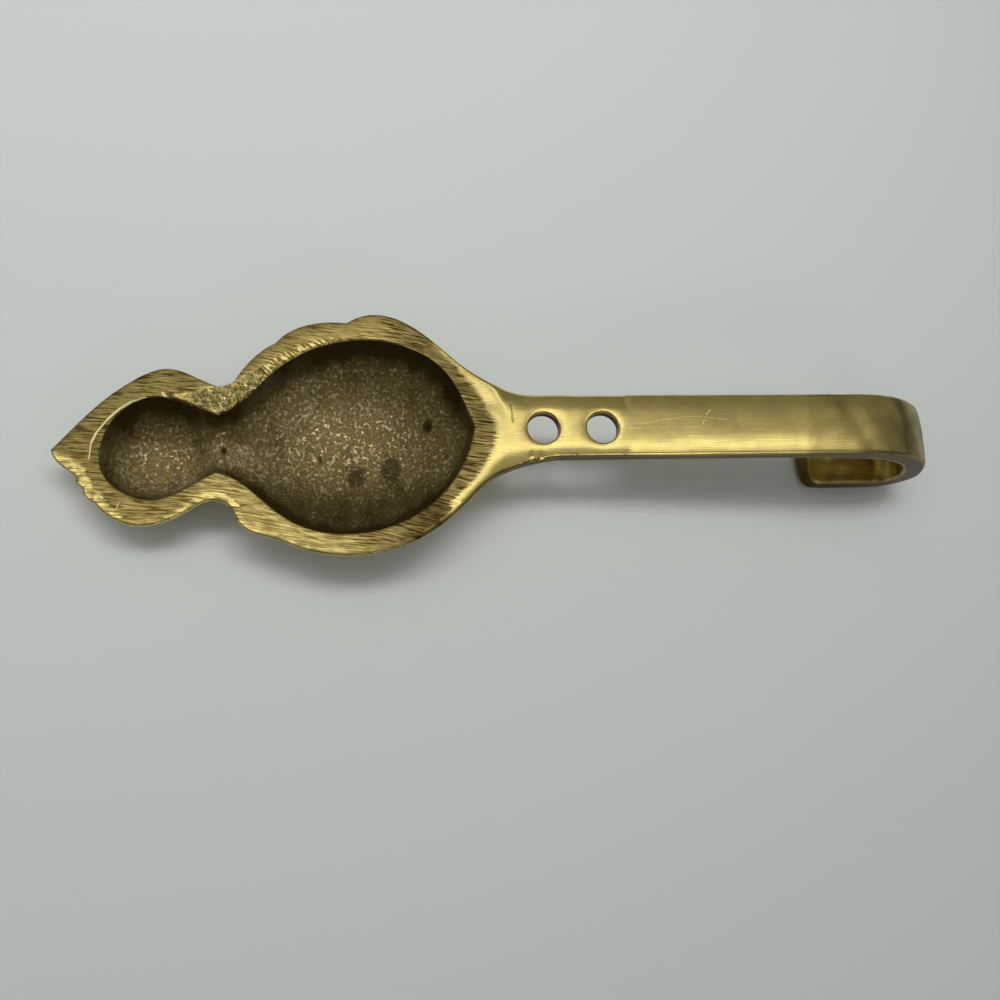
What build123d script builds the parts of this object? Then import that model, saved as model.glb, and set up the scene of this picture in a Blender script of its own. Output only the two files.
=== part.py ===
"""Cast brass wall hook: a hollow-backed figure over a flat strap that ends in a J.

Millimetres, in the hook's own wall frame: +Z runs up the wall, the wall is the plane Y = 0,
the casting stands out from it on the -Y side, and the origin lies on the wall midway
between the two screw holes.
"""

from build123d import *
import math
import os

os.makedirs("parts", exist_ok=True)

# Strap and J bend, sized along the back face that lies on the wall
STRAP_WIDTH = 11.2
STRAP_X = -0.5  # centre line of the strap: the holes are drilled a little to one side
STRAP_THICK = 3.4
STRAP_BURIED = 12.0  # how far the strap runs up inside the figure, above the origin
STRAP_DROP = 53.3  # from the origin down to where the strap leaves the wall
BEND_R = 18.3  # long upper part of the bend
BEND_ANGLE = 81.0
NOSE_R = 8.0  # tight lower part of the bend
NOSE_ANGLE = 99.0
ARM_LENGTH = 7.9  # straight part of the free arm
CURL_R = 14.0  # the free end turns back towards the wall
CURL_ANGLE = 26.0
BEND_THICK = 4.4  # the casting swells before it turns
SWELL_LENGTH = 8.0  # over the last of the straight strap
TIP_THICK = 3.6  # and thins again along the turned-back end
TIP_CORNER_R = 2.8
STRAP_CROWN = 0.35  # the back face is slightly domed across its width
BACK_EDGE_R = 1.2
FRONT_EDGE_CUT = 0.5  # the front edges are broken with a file

# Screw holes, one above the other on the strap
HOLE_DIAMETER = 5.5
HOLE_SPACING = 10.4
SINK_DIAMETER = 8.2  # countersink on the front for the screw heads
SINK_ANGLE = 90.0

# Figure: its edge, the two front domes and the two joined back pockets
EDGE_THICK = 1.4
BODY_CENTRE = (0.6, 37.5)
BODY_REACH = (17.0, 19.0)
BODY_HEIGHT = 12.4  # above the edge thickness
HEAD_CENTRE = (2.6, 69.0)
HEAD_REACH = (10.9, 10.9)
HEAD_HEIGHT = 8.6
DOME_FULLNESS = 4.0  # larger is flatter on top and steeper at the sides
BODY_POCKET_CENTRE = (0.9, 37.0)
BODY_POCKET_REACH = (16.0, 18.7)
BODY_POCKET_DEPTH = 11.0
HEAD_POCKET_CENTRE = (2.9, 69.6)
HEAD_POCKET_REACH = (8.4, 8.6)
HEAD_POCKET_DEPTH = 7.0
POCKET_FULLNESS = 3.6
FALLOFF = 0.9  # at its reach a dome or pocket is down to exp(-0.9) of its height
SURFACE_STEP = 3.0  # spacing of the points that a domed face passes through
SURFACE_MARGIN = 4.0  # how far a domed face runs past the outline
SURFACE_TOLERANCE = 0.02  # how near the face comes to those points

# Where the flared shoulders have run into the rounded edges of the strap
FLARE_END = (STRAP_WIDTH / 2 - BACK_EDGE_R, -4.0)
FLARE_ROOT = (STRAP_WIDTH / 2 + 0.1, 3.5)

# Outer edge of the figure as (x, z), one curve for each lobe, down each side from the pointed
# tip to the strap. Each curve starts where the one before it ends.
TIP = (3.0, 86.1)
LEFT_SIDE = [
    [(-3.6, 80.2), (-8.9, 73.8), (-11.0, 68.1), (-9.2, 63.1), (-7.9, 60.2)],
    [(-8.1, 58.7), (-8.7, 57.4)],
    [(-11.7, 55.4), (-14.3, 52.8), (-15.7, 50.6)],
    [(-18.3, 47.3), (-19.5, 42.3), (-19.4, 38.6)],
    [(-21.0, 33.4), (-17.9, 25.8), (-12.1, 19.4), (-8.3, 14.0), (-6.4, 8.8),
     (STRAP_X - FLARE_ROOT[0], FLARE_ROOT[1]), (STRAP_X - FLARE_END[0], FLARE_END[1])],
]
RIGHT_SIDE = [
    [(TIP[0] + 1.6, TIP[1] - 0.7), (TIP[0] + 3.3, TIP[1] - 2.5), (7.4, 82.2)],
    [(8.7, 81.8), (9.4, 81.0)],
    [(11.1, 80.2), (12.0, 78.9)],
    [(13.6, 77.5), (14.9, 75.4)],
    [(15.8, 69.6), (13.9, 64.8), (11.9, 60.4), (12.5, 58.4), (14.5, 56.8)],
    [(16.9, 55.0), (18.0, 52.4), (19.0, 49.3)],
    [(20.9, 43.9), (21.5, 35.4), (18.4, 25.9), (13.0, 19.0), (9.0, 14.8), (6.5, 9.7),
     (STRAP_X + FLARE_ROOT[0], FLARE_ROOT[1]), (STRAP_X + FLARE_END[0], FLARE_END[1])],
]

# Edge of the pockets as (x, z), from the cusp where they meet on the left of the neck: up round
# the head pocket to the right of the neck, then down and back up round the body pocket
NECK_CUSP = (-2.9, 59.7)
POCKET_EDGE = [
    [(-4.8, 65.2), (-6.0, 69.6), (-4.7, 74.0), (0.0, 77.7), (3.4, 78.5), (7.3, 77.7),
     (11.1, 73.0), (11.7, 69.7), (10.8, 66.6), (7.2, 60.0)],
    [(9.0, 56.0), (12.7, 51.8), (16.6, 46.0), (18.0, 39.5), (17.1, 32.5), (12.6, 24.2),
     (5.0, 18.7), (-0.4, 17.1)],
    [(-4.7, 18.6), (-11.5, 22.7), (-15.7, 30.9), (-16.2, 36.4), (-14.1, 45.5), (-9.0, 52.4),
     (-4.6, 56.6), NECK_CUSP],
]


def strap_section(place, direction, thick):
    """Crowned section of the strap, square to its route, with local +Y into the metal."""
    half = STRAP_WIDTH / 2
    with BuildSketch(Plane(origin=place, x_dir=(1, 0, 0), z_dir=direction)) as section:
        with BuildLine():
            back = ThreePointArc((-half, STRAP_CROWN), (0, 0), (half, STRAP_CROWN))
            Polyline(back @ 0, (-half, thick), (half, thick), back @ 1)
        make_face()
        fillet(section.vertices().sort_by(Axis.Y)[:2], BACK_EDGE_R)
        chamfer(section.vertices().sort_by(Axis.Y)[-2:], FRONT_EDGE_CUT)
    return section.sketch


def swelling(point, centre, reach, height, fullness):
    """Height of one smooth swelling over a plan point."""
    rho = math.hypot((point[0] - centre[0]) / reach[0], (point[1] - centre[1]) / reach[1])
    return height * math.exp(-FALLOFF * rho**fullness)


def front_height(point):
    """Distance of the figure's front from the wall: two domes that run together."""
    body = swelling(point, BODY_CENTRE, BODY_REACH, BODY_HEIGHT, DOME_FULLNESS)
    head = swelling(point, HEAD_CENTRE, HEAD_REACH, HEAD_HEIGHT, DOME_FULLNESS)
    return EDGE_THICK + math.hypot(body, head)


def pocket_depth(point):
    """Depth of the pockets behind the rim: two bowls with a lower saddle at the neck."""
    body = swelling(point, BODY_POCKET_CENTRE, BODY_POCKET_REACH, BODY_POCKET_DEPTH, POCKET_FULLNESS)
    head = swelling(point, HEAD_POCKET_CENTRE, HEAD_POCKET_REACH, HEAD_POCKET_DEPTH, POCKET_FULLNESS)
    return math.hypot(body, head)


def domed_face(height, box):
    """Smooth face at -Y = height(x, z) over the plan extent of a bounding box."""
    lows = (box.min.X - SURFACE_MARGIN, box.min.Z - SURFACE_MARGIN)
    highs = (box.max.X + SURFACE_MARGIN, box.max.Z + SURFACE_MARGIN)
    counts = [math.ceil((high - low) / SURFACE_STEP) for low, high in zip(lows, highs)]
    grid = []
    for i in range(counts[0] + 1):
        x = lows[0] + i * (highs[0] - lows[0]) / counts[0]
        column = []
        for j in range(counts[1] + 1):
            z = lows[1] + j * (highs[1] - lows[1]) / counts[1]
            column.append(Vector(x, -height((x, z)), z))
        grid.append(column)
    return Face.make_surface_from_array_of_points(grid, tol=SURFACE_TOLERANCE, min_deg=3, max_deg=5)


# Route of the back face where it leaves the wall: round the bend and back up the free arm
with BuildLine(Plane.YZ.offset(STRAP_X)) as turn:
    bend = JernArc(start=(0, -STRAP_DROP), tangent=(0, -1), radius=BEND_R, arc_size=-BEND_ANGLE)
    nose = JernArc(start=bend @ 1, tangent=bend % 1, radius=NOSE_R, arc_size=-NOSE_ANGLE)
    arm = Line(nose @ 1, nose @ 1 + (nose % 1) * ARM_LENGTH)
with BuildLine(Plane.YZ.offset(STRAP_X)):
    curl = JernArc(start=arm @ 1, tangent=arm % 1, radius=CURL_R, arc_size=-CURL_ANGLE)

# The figure's back pockets, as the solid that the casting lacks
with BuildPart() as pockets:
    with BuildSketch(Plane.XZ):
        with BuildLine():
            start = NECK_CUSP
            for curve in POCKET_EDGE:
                start = Spline(start, *curve) @ 1
        make_face()
    extrude(amount=BODY_POCKET_DEPTH + HEAD_POCKET_DEPTH)
    split(bisect_by=domed_face(pocket_depth, pockets.part.bounding_box()), keep=Keep.BOTTOM)

with BuildPart() as hook:
    # Figure: its outline in plan, cut to the two front domes
    with BuildSketch(Plane.XZ):
        with BuildLine():
            for side in (LEFT_SIDE, RIGHT_SIDE):
                start = TIP
                for lobe in side:
                    start = Spline(start, *lobe) @ 1
            Line(LEFT_SIDE[-1][-1], RIGHT_SIDE[-1][-1])
        make_face()
    extrude(amount=EDGE_THICK + BODY_HEIGHT + HEAD_HEIGHT)
    split(bisect_by=domed_face(front_height, hook.part.bounding_box()), keep=Keep.BOTTOM)
    add(pockets.part, mode=Mode.SUBTRACT)

    # Strap, swelling over its last straight length
    down = (0, 0, -1)
    swell_top = SWELL_LENGTH - STRAP_DROP
    strap_top = strap_section((STRAP_X, 0, STRAP_BURIED), down, STRAP_THICK)
    extrude(strap_top, amount=STRAP_BURIED - swell_top)
    loft([
        strap_section((STRAP_X, 0, swell_top), down, STRAP_THICK),
        strap_section((STRAP_X, 0, -STRAP_DROP), down, BEND_THICK),
    ])

    # The J at that thickness, and its turned-back end, thinning to the tip
    sweep(strap_section(bend @ 0, bend % 0, BEND_THICK), path=turn.line)
    curl_sections = [
        strap_section(curl @ 0, curl % 0, BEND_THICK),
        strap_section(curl @ 1, curl % 1, TIP_THICK),
    ]
    sweep(curl_sections, path=curl, multisection=True)

    # The free end is rounded off in plan.
    tip_plane = Plane(origin=curl @ 1, x_dir=(1, 0, 0), z_dir=Vector(1, 0, 0).cross(curl % 1))
    with BuildSketch(tip_plane):
        with Locations((0, -TIP_CORNER_R)):
            Rectangle(STRAP_WIDTH, 2 * TIP_CORNER_R)
        with Locations((0, -STRAP_WIDTH / 2)):
            RectangleRounded(STRAP_WIDTH, STRAP_WIDTH, TIP_CORNER_R, mode=Mode.SUBTRACT)
    extrude(amount=TIP_THICK, both=True, mode=Mode.SUBTRACT)

    # Screw holes, countersunk from the front
    for z in (-HOLE_SPACING / 2, HOLE_SPACING / 2):
        with Locations(Plane(origin=(0, -STRAP_THICK, z), x_dir=(1, 0, 0), z_dir=(0, -1, 0))):
            CounterSinkHole(
                radius=HOLE_DIAMETER / 2,
                counter_sink_radius=SINK_DIAMETER / 2,
                counter_sink_angle=SINK_ANGLE,
                depth=STRAP_THICK,
            )

hook.part.label = "hook"
export_step(hook.part, "parts/hook.step")
print(hook.part.volume, hook.part.is_valid, len(hook.part.solids()), hook.part.bounding_box())
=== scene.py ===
"""Looks of a cast brass wall hook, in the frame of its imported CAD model.

The hook is one casting, so it is one piece here: a hollow-backed figure, a strap with two
screw holes and a J. Its surface is made of patches, each a grid of two parameters, that
share their edges and are merged into one closed skin. Lengths inside the classes are
millimetres in the part's frame: +Z runs up the wall, +Y into it, and the casting lies on
the -Y side of the wall plane. The mesh is scaled to metres as it is written.
"""

import logging
import math
from collections.abc import Callable
from dataclasses import dataclass, field
from enum import Enum

import bmesh
import bpy
import numpy as np
from mathutils import Matrix, Vector


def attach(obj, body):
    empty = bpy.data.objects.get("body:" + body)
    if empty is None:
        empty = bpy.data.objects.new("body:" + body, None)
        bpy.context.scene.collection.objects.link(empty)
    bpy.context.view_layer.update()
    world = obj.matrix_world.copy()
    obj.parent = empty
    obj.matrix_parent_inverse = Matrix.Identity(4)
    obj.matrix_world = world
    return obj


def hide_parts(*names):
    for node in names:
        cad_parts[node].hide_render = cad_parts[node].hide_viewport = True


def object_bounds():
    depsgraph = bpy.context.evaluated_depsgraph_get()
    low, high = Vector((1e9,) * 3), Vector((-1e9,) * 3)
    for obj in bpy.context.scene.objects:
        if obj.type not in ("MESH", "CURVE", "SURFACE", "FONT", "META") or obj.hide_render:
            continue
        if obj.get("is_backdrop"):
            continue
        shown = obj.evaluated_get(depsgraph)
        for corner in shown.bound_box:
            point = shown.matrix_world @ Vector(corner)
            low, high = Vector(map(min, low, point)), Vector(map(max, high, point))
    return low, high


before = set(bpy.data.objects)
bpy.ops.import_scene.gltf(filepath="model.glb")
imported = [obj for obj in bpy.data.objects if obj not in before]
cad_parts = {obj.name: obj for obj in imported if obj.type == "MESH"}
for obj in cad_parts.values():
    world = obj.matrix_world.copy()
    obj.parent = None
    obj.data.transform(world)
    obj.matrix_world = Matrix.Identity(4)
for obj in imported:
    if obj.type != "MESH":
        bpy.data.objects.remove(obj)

LOG = logging.getLogger("wall_hook")
MM = 0.001
Array = np.ndarray
CAD_BOX: tuple[list[float], list[float]] = tuple(list(corner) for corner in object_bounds())


# ---------------------------------------------------------------- curves and fields


def ramp(value: Array, start: float, end: float) -> Array:
    """Smooth step: 0 at start, 1 at end, with 3t^2 - 2t^3 between them.

    Args:
        value: Numbers to grade.
        start: Value that gives 0.
        end: Value that gives 1; it may be less than start.

    Returns:
        Numbers from 0 to 1 in the shape of value.
    """
    t = np.clip((value - start) / (end - start), 0.0, 1.0)
    return t * t * (3.0 - 2.0 * t)


def curve_through(points: Array, count: int) -> Array:
    """Cubic spline through plan points.

    The parameter is chord length. The slopes inside come from the usual tridiagonal system,
    and the slope at each end is that of the polynomial through the last four points there.
    Each span is Hermite's cubic.

    Args:
        points: Points of shape (n, 2).
        count: How many points to return, evenly spread over the parameter.

    Returns:
        Points of shape (count, 2).
    """
    knots = np.concatenate(([0.0], np.cumsum(np.linalg.norm(np.diff(points, axis=0), axis=1))))
    gaps = np.diff(knots)
    total, few = len(points), min(4, len(points))
    first = np.polyfit(knots[:few] - knots[0], points[:few], few - 1)[-2]
    last = np.polyfit(knots[-few:] - knots[-1], points[-few:], few - 1)[-2]
    inner = np.arange(1, total - 1)
    system = np.eye(total)
    system[inner, inner - 1] = 1.0 / gaps[:-1]
    system[inner, inner] = 2.0 / gaps[:-1] + 2.0 / gaps[1:]
    system[inner, inner + 1] = 1.0 / gaps[1:]
    pull = np.vstack((first, np.zeros((total - 2, 2)), last))
    steps = np.diff(points, axis=0)
    pull[1:-1] = 3.0 * (steps[:-1] / gaps[:-1, None] ** 2 + steps[1:] / gaps[1:, None] ** 2)
    slopes = np.linalg.solve(system, pull)
    where = np.linspace(0.0, knots[-1], count)
    span = np.clip(np.searchsorted(knots, where, side="right") - 1, 0, total - 2)
    gap = gaps[span][:, None]
    t = ((where - knots[span]) / gaps[span])[:, None]
    return (
        (1 + 2 * t) * (1 - t) ** 2 * points[span]
        + t * (1 - t) ** 2 * gap * slopes[span]
        + t * t * (3 - 2 * t) * points[span + 1]
        + t * t * (t - 1) * gap * slopes[span + 1]
    )


def chain_through(start: tuple[float, float], curves: list[list[tuple[float, float]]]) -> Array:
    """One dense polyline along splines that each start where the one before ends.

    Args:
        start: First point.
        curves: The further points of each spline.

    Returns:
        Points of shape (n, 2), the joints between splines given once.
    """
    runs = []
    for curve in curves:
        run = curve_through(np.array([start, *curve]), 160)
        runs.append(run[:-1])
        start = curve[-1]
    return np.vstack((*runs, [start]))


def stretch(line: Array, start: tuple[float, float], end: tuple[float, float], shares: Array) -> Array:
    """Points along a polyline between its points nearest to two places.

    Args:
        line: Polyline of shape (n, 2).
        start: Place near the first point wanted.
        end: Place near the last one, further along the line.
        shares: Shares of the length between them, from 0 to 1.

    Returns:
        One point for each share.
    """
    low, high = (int(np.argmin(np.linalg.norm(line - np.array(place), axis=1))) for place in (start, end))
    run = line[low : high + 1]
    length = np.concatenate(([0.0], np.cumsum(np.linalg.norm(np.diff(run, axis=0), axis=1))))
    return np.stack([np.interp(shares * length[-1], length, run[:, axis]) for axis in (0, 1)], axis=-1)


def distance_to(line: Array, points: Array) -> Array:
    """Distance from plan points to a polyline: the least over its segments.

    Args:
        line: Polyline of shape (n, 2).
        points: Points of shape (..., 2).

    Returns:
        Distances in the shape of points without its last axis.
    """
    flat = points.reshape(-1, 2)
    heads, arms = line[:-1], np.diff(line, axis=0)
    squares = np.maximum((arms**2).sum(axis=1), 1e-12)
    nearest = []
    for part in np.array_split(flat, max(1, len(flat) // 3000)):
        out = part[:, None, :] - heads[None]
        along = np.clip((out * arms).sum(axis=2) / squares, 0.0, 1.0)
        nearest.append(np.sqrt(((out - along[..., None] * arms) ** 2).sum(axis=2).min(axis=1)))
    return np.concatenate(nearest).reshape(points.shape[:-1])


def ripple(x: Array, z: Array, size: float, seed: int, waves: int = 14) -> Array:
    """Soft unevenness: a sum of sine waves of random heading and phase, scaled to about -1..1.

    Args:
        x: First coordinates.
        z: Second coordinates.
        size: Mean wavelength.
        seed: Seed of the headings and phases.
        waves: How many waves are summed.

    Returns:
        Heights in the shape of x.
    """
    dice = np.random.default_rng(seed)
    heading = dice.uniform(0.0, math.tau, waves)
    number = math.tau / (size * dice.uniform(0.6, 1.6, waves))
    phase = dice.uniform(0.0, math.tau, waves)
    total = np.zeros_like(x)
    for turn, rate, shift in zip(heading, number, phase):
        total += np.sin(rate * (math.cos(turn) * x + math.sin(turn) * z) + shift)
    return total / math.sqrt(waves)


def rounding(distance: Array, radius: Array | float) -> Array:
    """How far a rounded edge has fallen: r - sqrt(r^2 - (r - d)^2) within the radius r, else 0."""
    reach = np.clip(radius - distance, 0.0, radius)
    return radius - np.sqrt(np.maximum(radius * radius - reach * reach, 0.0))


def ring_shares(width: Array, near: tuple[float, ...], middle: int, far: tuple[float, ...]) -> Array:
    """Shares of the way from one edge to another, with rings at set distances from each edge.

    Args:
        width: Distance between the edges for each column.
        near: Distances of the first rings from the first edge, starting at 0.
        middle: How many rings are spread evenly between the two sets.
        far: Distances of the last rings from the second edge, ending at 0.

    Returns:
        Shares of shape (rings, columns).
    """
    first = np.array(near)[:, None] / width
    last = 1.0 - np.array(far)[:, None] / width
    squeeze = np.minimum(1.0, 0.45 / np.maximum(first[-1], 1.0 - last[0]))
    first, last = first * squeeze, 1.0 - (1.0 - last) * squeeze
    t = (np.arange(1, middle + 1) / (middle + 1))[:, None]
    return np.vstack((first, first[-1] + (last[0] - first[-1]) * t, last))


# ---------------------------------------------------------------- finishes


def linear(code: str) -> tuple[float, float, float, float]:
    """Linear colour with full alpha from an sRGB hex value such as "#C0A060"."""
    parts = (int(code[i : i + 2], 16) / 255 for i in (1, 3, 5))
    return (*(p / 12.92 if p <= 0.04045 else ((p + 0.055) / 1.055) ** 2.4 for p in parts), 1.0)


def add_node(
    tree: bpy.types.NodeTree,
    kind: str,
    inputs: dict[int | str, object] | None = None,
    output: int | str = 0,
    **settings: object,
) -> bpy.types.NodeSocket | None:
    """Adds a node with its settings, values and links.

    Args:
        tree: Node tree to add to.
        kind: Node type, such as "ShaderNodeTexNoise".
        inputs: For each input socket, a value, or an output socket to link from.
        output: Name or number of the output socket wanted.
        settings: Attributes of the node itself.

    Returns:
        That output socket, or None from a node that has none.
    """
    node = tree.nodes.new(kind)
    for name, value in settings.items():
        setattr(node, name, value)
    for socket, value in (inputs or {}).items():
        if isinstance(value, bpy.types.NodeSocket):
            tree.links.new(value, node.inputs[socket])
        else:
            node.inputs[socket].default_value = value
    return node.outputs[output] if node.outputs else None


def empty_material(name: str) -> bpy.types.Material:
    """New material with nothing in its node tree yet.

    Args:
        name: Its name.

    Returns:
        The material.
    """
    material = bpy.data.materials.new(name)
    material.use_nodes = True
    material.node_tree.nodes.clear()
    return material


def coat(tree: bpy.types.NodeTree, under: object, colour: str, *shares: object) -> bpy.types.NodeSocket:
    """Lays a colour over another, as far as the product of its shares says.

    Args:
        tree: Node tree to add to.
        under: Colour or colour socket that it covers.
        colour: The coat's own sRGB hex value.
        shares: Sockets or numbers from 0 to 1.

    Returns:
        The colour after the coat.
    """
    share, *others = shares
    for other in others:
        share = add_node(tree, "ShaderNodeMath", {0: share, 1: other}, operation="MULTIPLY")
    return add_node(tree, "ShaderNodeMix", {0: share, 6: under, 7: linear(colour)}, 2, data_type="RGBA")


def relief(tree: bpy.types.NodeTree, forms: tuple[tuple[object, float, object], ...]) -> bpy.types.NodeSocket:
    """Normal of a surface with small forms laid one on another.

    Args:
        tree: Node tree to add to.
        forms: For each form its height from 0 to 1, how far it stands out in mm (or in, when
            negative) and how much of it shows, from 0 to 1.

    Returns:
        The normal.
    """
    normal = None
    for height, reach, share in forms:
        inputs = {"Height": height, "Distance": abs(reach) * MM, "Strength": share}
        if normal is not None:
            inputs["Normal"] = normal
        normal = add_node(tree, "ShaderNodeBump", inputs, invert=reach < 0.0)
    return normal


@dataclass(frozen=True)
class Speckle:
    """Uneven noise over a surface, graded between two of its levels.

    Attributes:
        cell: Length in mm of its cells along each axis.
        levels: Levels of the noise, from 0 to 1, at which the grade starts and ends.
        detail: How many finer noises are added to the first.
        grades: What the grade starts and ends with.
        turn: Turn of the cells about the second axis, in radians.
        roughness: Strength of each finer noise beside the one before it.
    """

    cell: tuple[float, float, float]
    levels: tuple[float, float]
    detail: float
    grades: tuple[float, float] = (0.0, 1.0)
    turn: float = 0.0
    roughness: float = 0.6

    def build(
        self, tree: bpy.types.NodeTree, source: bpy.types.NodeSocket, unit: float
    ) -> bpy.types.NodeSocket:
        """Adds the noise: a cell spans its length in mm, each way.

        Args:
            tree: Node tree to add to.
            source: Coordinates that it is laid on.
            unit: What a millimetre is in those coordinates.

        Returns:
            The graded noise.
        """
        if self.turn:
            source = add_node(
                tree, "ShaderNodeVectorRotate", {"Vector": source, "Angle": self.turn}, rotation_type="Y_AXIS"
            )
        scale = tuple(1.0 / (length * unit) for length in self.cell)
        source = add_node(tree, "ShaderNodeMapping", {"Vector": source, "Scale": scale})
        level = add_node(
            tree,
            "ShaderNodeTexNoise",
            {"Vector": source, "Scale": 1.0, "Detail": self.detail, "Roughness": self.roughness},
        )
        (low, high), (start, end) = self.levels, self.grades
        return add_node(
            tree,
            "ShaderNodeMapRange",
            {"Value": level, "From Min": low, "From Max": high, "To Min": start, "To Max": end},
        )


@dataclass(frozen=True)
class Scratch:
    """A line scored or raised in the surface, straight or bent, in the plan's mm.

    Attributes:
        stations: Its two ends, and its bends between them, as (x, z).
        widths: Width of each straight leg.
        strength: Its greatest strength, 0 to 1.
    """

    stations: tuple[tuple[float, float], ...]
    widths: tuple[float, ...]
    strength: float = 1.0

    def build(
        self, tree: bpy.types.NodeTree, plan: bpy.types.NodeSocket, joined: object
    ) -> bpy.types.NodeSocket:
        """Adds the line: full within a fifth of each leg's width of the leg, gone at half of it.

        The distance is to the leg's nearest place, its foot plus the leg times the share of
        the leg that the dot product gives, from 0 to 1.

        Args:
            tree: Node tree to add to.
            plan: Coordinates in metres, their second part 0.
            joined: Socket or number that the line is joined to.

        Returns:
            The greater of the line and what it is joined to.
        """
        for start, end, width in zip(self.stations[:-1], self.stations[1:], self.widths):
            foot = Vector((start[0], 0.0, start[1])) * MM
            leg = Vector((end[0], 0.0, end[1])) * MM - foot
            out = add_node(tree, "ShaderNodeVectorMath", {0: plan, 1: foot}, operation="SUBTRACT")
            pace = leg / leg.dot(leg)
            share = add_node(
                tree, "ShaderNodeVectorMath", {0: out, 1: pace}, "Value", operation="DOT_PRODUCT"
            )
            share = add_node(tree, "ShaderNodeClamp", {0: share})
            near = add_node(tree, "ShaderNodeVectorMath", {0: leg, "Scale": share}, operation="SCALE")
            gap = add_node(tree, "ShaderNodeVectorMath", {0: out, 1: near}, "Value", operation="DISTANCE")
            reach = width * MM
            line = add_node(
                tree,
                "ShaderNodeMapRange",
                {"Value": gap, "From Min": 0.5 * reach, "From Max": 0.2 * reach, "To Max": self.strength},
            )
            joined = add_node(tree, "ShaderNodeMath", {0: joined, 1: line}, operation="MAXIMUM")
        return joined


class Layer(Enum):
    """Float attributes that the casting's mesh carries, each from 0 to 1."""

    FILED = "filed"
    SKIN = "cast_skin"
    HATCH = "hatched"
    # Tarnish, and painted shade in the screw holes and on the strap's sides and free end.
    TARNISH_AND_SHADE = "tarnish"
    # Painted shade and sheen in the pockets, with their real staining.
    STAIN_AND_SHADE = "stain"


# UV map with the file's grain in mm: across the strokes and along them.
GRAIN_MAP = "file_grain"


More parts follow.
